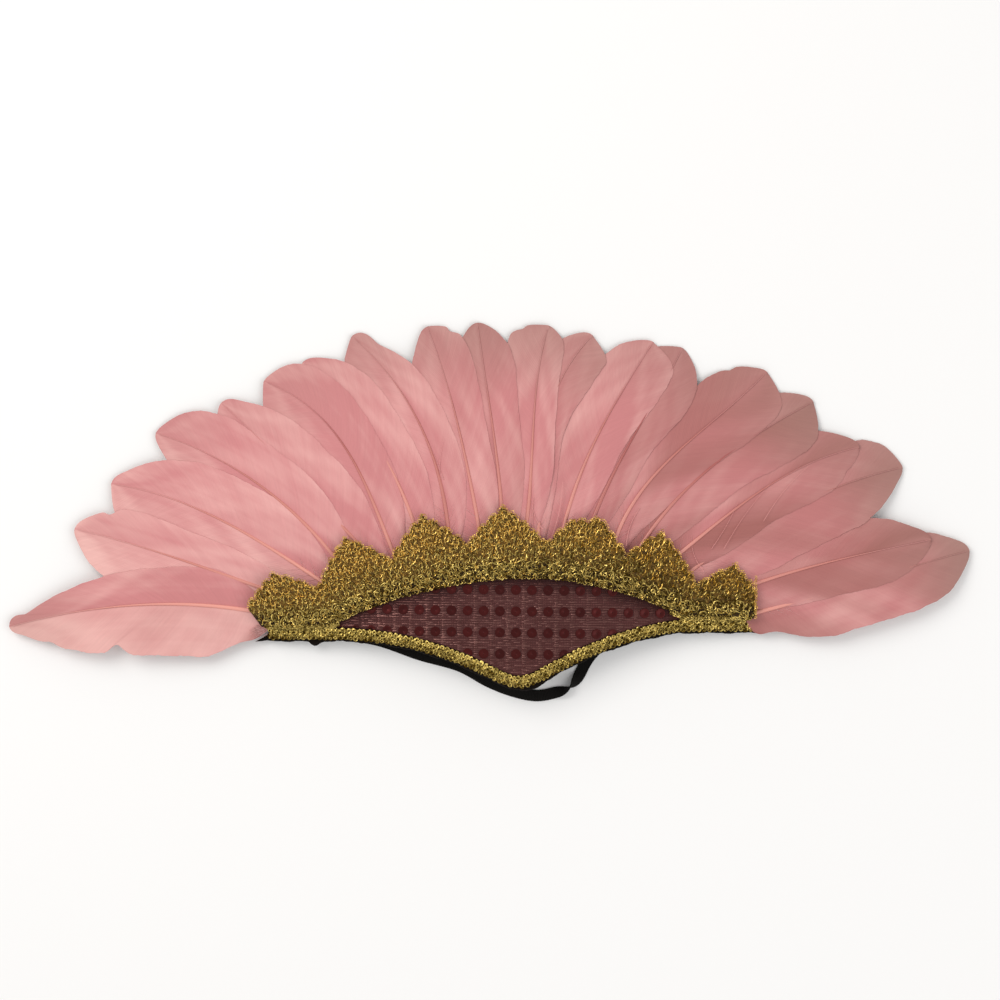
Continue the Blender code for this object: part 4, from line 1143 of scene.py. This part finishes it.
def braid_beads():
    """Rows of looped yarn, each bead two loops deep, and a yarn that snakes between the rows."""
    path = edge_path(*BRAID_ENDS, 400, BRAID_GAP + 0.5 * BRAID_WIDTH)
    length = distances(path)[-1]
    chance = np.random.default_rng(120)
    parts = []
    for number, row in enumerate(BEAD_ROWS):
        for turn in range(2):
            along = np.arange(0.9, length - 0.7, BEAD_PITCH) + (0.5 * BEAD_PITCH if number % 2 else 0.0)
            along = np.minimum(along + chance.normal(0.0, 0.16, len(along)), length - 0.7)
            x, y = lay_along(path, along, row["aside"] + chance.normal(0.0, 0.12, len(along)))
            size = row["size"] * chance.uniform(0.8, 1.1, len(along)) * (1.0 - 0.35 * turn)
            level = felt_top(x) + row["rise"] - 0.1 + 0.25 * turn
            parts.append(yarn_loops(x, y, level, size, row["thick"], row["tilt"], 130 + 10 * number + turn,
                (0.8, 1.1), bright=row["bright"], steps=9, sides=5))
    along = np.arange(0.8, length - 0.8, 0.22)
    for seed, middle, phase in ((161, 1.1, 0.0), (171, -1.3, 2.0)):
        turn = 2.0 * np.pi * along / BEAD_PITCH + phase + 0.8 * wander(along * 0.4, seed)
        x, y = lay_along(path, along + 0.5 * np.sin(turn), middle + 0.9 * np.cos(turn))
        z = felt_top(x) + 1.75 + 0.2 * np.sin(2.0 * turn) + 0.15 * np.sign(middle)
        shade = np.clip(0.5 + 0.5 * wander(along * 1.6, seed + 1), 0.0, 1.0)
        parts.append(yarns(xyz(x, y, z)[None], 0.27, 5, flat=True, finish=1, shade=shade[None]))
    return parts


piece("edge_braid_plait", [braid_bed()] + braid_beads(), (GROUND, BRAID_YARN), ["edge_braid"])


# Elastic.

BAND_STEPS = 420
BAND_RIBS = 7
EDGE_WAVE = 1.4         # from one bulge of the woven edge to the next
STITCH_PITCH, STITCHES = 1.0, 8


def band_route():
    """The elastic's middle line at even steps, and its length."""
    knots = np.array([(row["x"], row["y"]) for row in BAND_ROUTE]) * PANEL_RADIUS
    spans = len(knots) - 1
    on = np.clip(np.linspace(0.0, spans, 1601), 0.0, spans - 1e-9)
    knot = on.astype(int)
    t = (on - knot)[:, None]
    a, b = knots[np.maximum(knot - 1, 0)], knots[knot]
    c, d = knots[knot + 1], knots[np.minimum(knot + 2, spans)]
    fine = 0.5 * (2.0 * b + (c - a) * t + (2.0 * a - 5.0 * b + 4.0 * c - d) * t ** 2
        + (3.0 * b - a - 3.0 * c + d) * t ** 3)
    run = distances(fine)
    even = np.linspace(0.0, run[-1], BAND_STEPS + 1)
    return np.stack([np.interp(even, run, fine[:, axis]) for axis in (0, 1)], -1), run[-1]


def elastic_strap():
    """A flat strap with a rib over each rubber cord and a half twist."""
    route, length = band_route()
    share = np.linspace(0.0, 1.0, BAND_STEPS + 1)
    ahead = heading(route)
    side = np.stack((ahead[:, 1], -ahead[:, 0]), -1)
    turn = np.pi * smooth((share - TWIST_AT) / TWIST_SPAN + 0.5)
    flat, steep = np.cos(turn), np.sin(turn)
    half_height = 0.5 * (BAND_WIDTH * np.abs(steep) + BAND_THICK * np.abs(flat))
    to_end = np.minimum(share, 1.0 - share) * length
    seat = BACK_LEVEL + bow(route[:, 0]) - LAY_GAP - 0.5 * BAND_THICK
    middle = mix(seat, half_height, smooth(to_end / BAND_LIFT))
    across = np.linspace(-0.5, 0.5, 4 * BAND_RIBS + 1)
    rib = 0.36 + 0.14 * np.abs(np.sin(np.pi * BAND_RIBS * (across + 0.5)))
    rib = rib * np.where(np.abs(across) > 0.499, 0.5, 1.0)
    section = np.concatenate((np.stack((across, rib), -1), np.stack((across[::-1], -rib[::-1]), -1)))
    wave = 1.0 + 0.015 * np.sin(2.0 * np.pi * length * share / EDGE_WAVE)
    wide, thick = section[:, 0] * BAND_WIDTH * wave[:, None], section[:, 1] * BAND_THICK
    along = wide * flat[:, None] - thick * steep[:, None]
    rise = wide * steep[:, None] + thick * flat[:, None]
    x, y = (route[:, None, axis] + side[:, None, axis] * along for axis in (0, 1))
    points = xyz(x, y, np.maximum(middle[:, None] + rise, 0.0))
    run = np.repeat(share * length, len(section))
    return part(points, grid_faces(BAND_STEPS + 1, len(section), closed=True), along=run)


def end_stitches():
    """Thread that sews each end of the elastic to the back of the felt."""
    route, length = band_route()
    paths = []
    for first in (2.0, length - 9.0):
        for stitch in range(STITCHES):
            along = first + STITCH_PITCH * stitch + np.linspace(-0.3, 0.3, 5)
            for low, high in ((-1.9, -0.7), (0.7, 1.9)):
                x, y = lay_along(route, along, np.linspace(low, high, 5))
                lift = np.sin(np.linspace(0.0, np.pi, 5))
                paths.append(xyz(x, y, BACK_LEVEL + bow(x) - LAY_GAP - BAND_THICK + 0.08 - 0.14 * lift))
    return yarns(np.stack(paths), 0.13, 5, finish=1)


piece("ribbed_elastic", [elastic_strap(), end_stitches()], (ELASTIC, SEWING), ["head_elastic"])
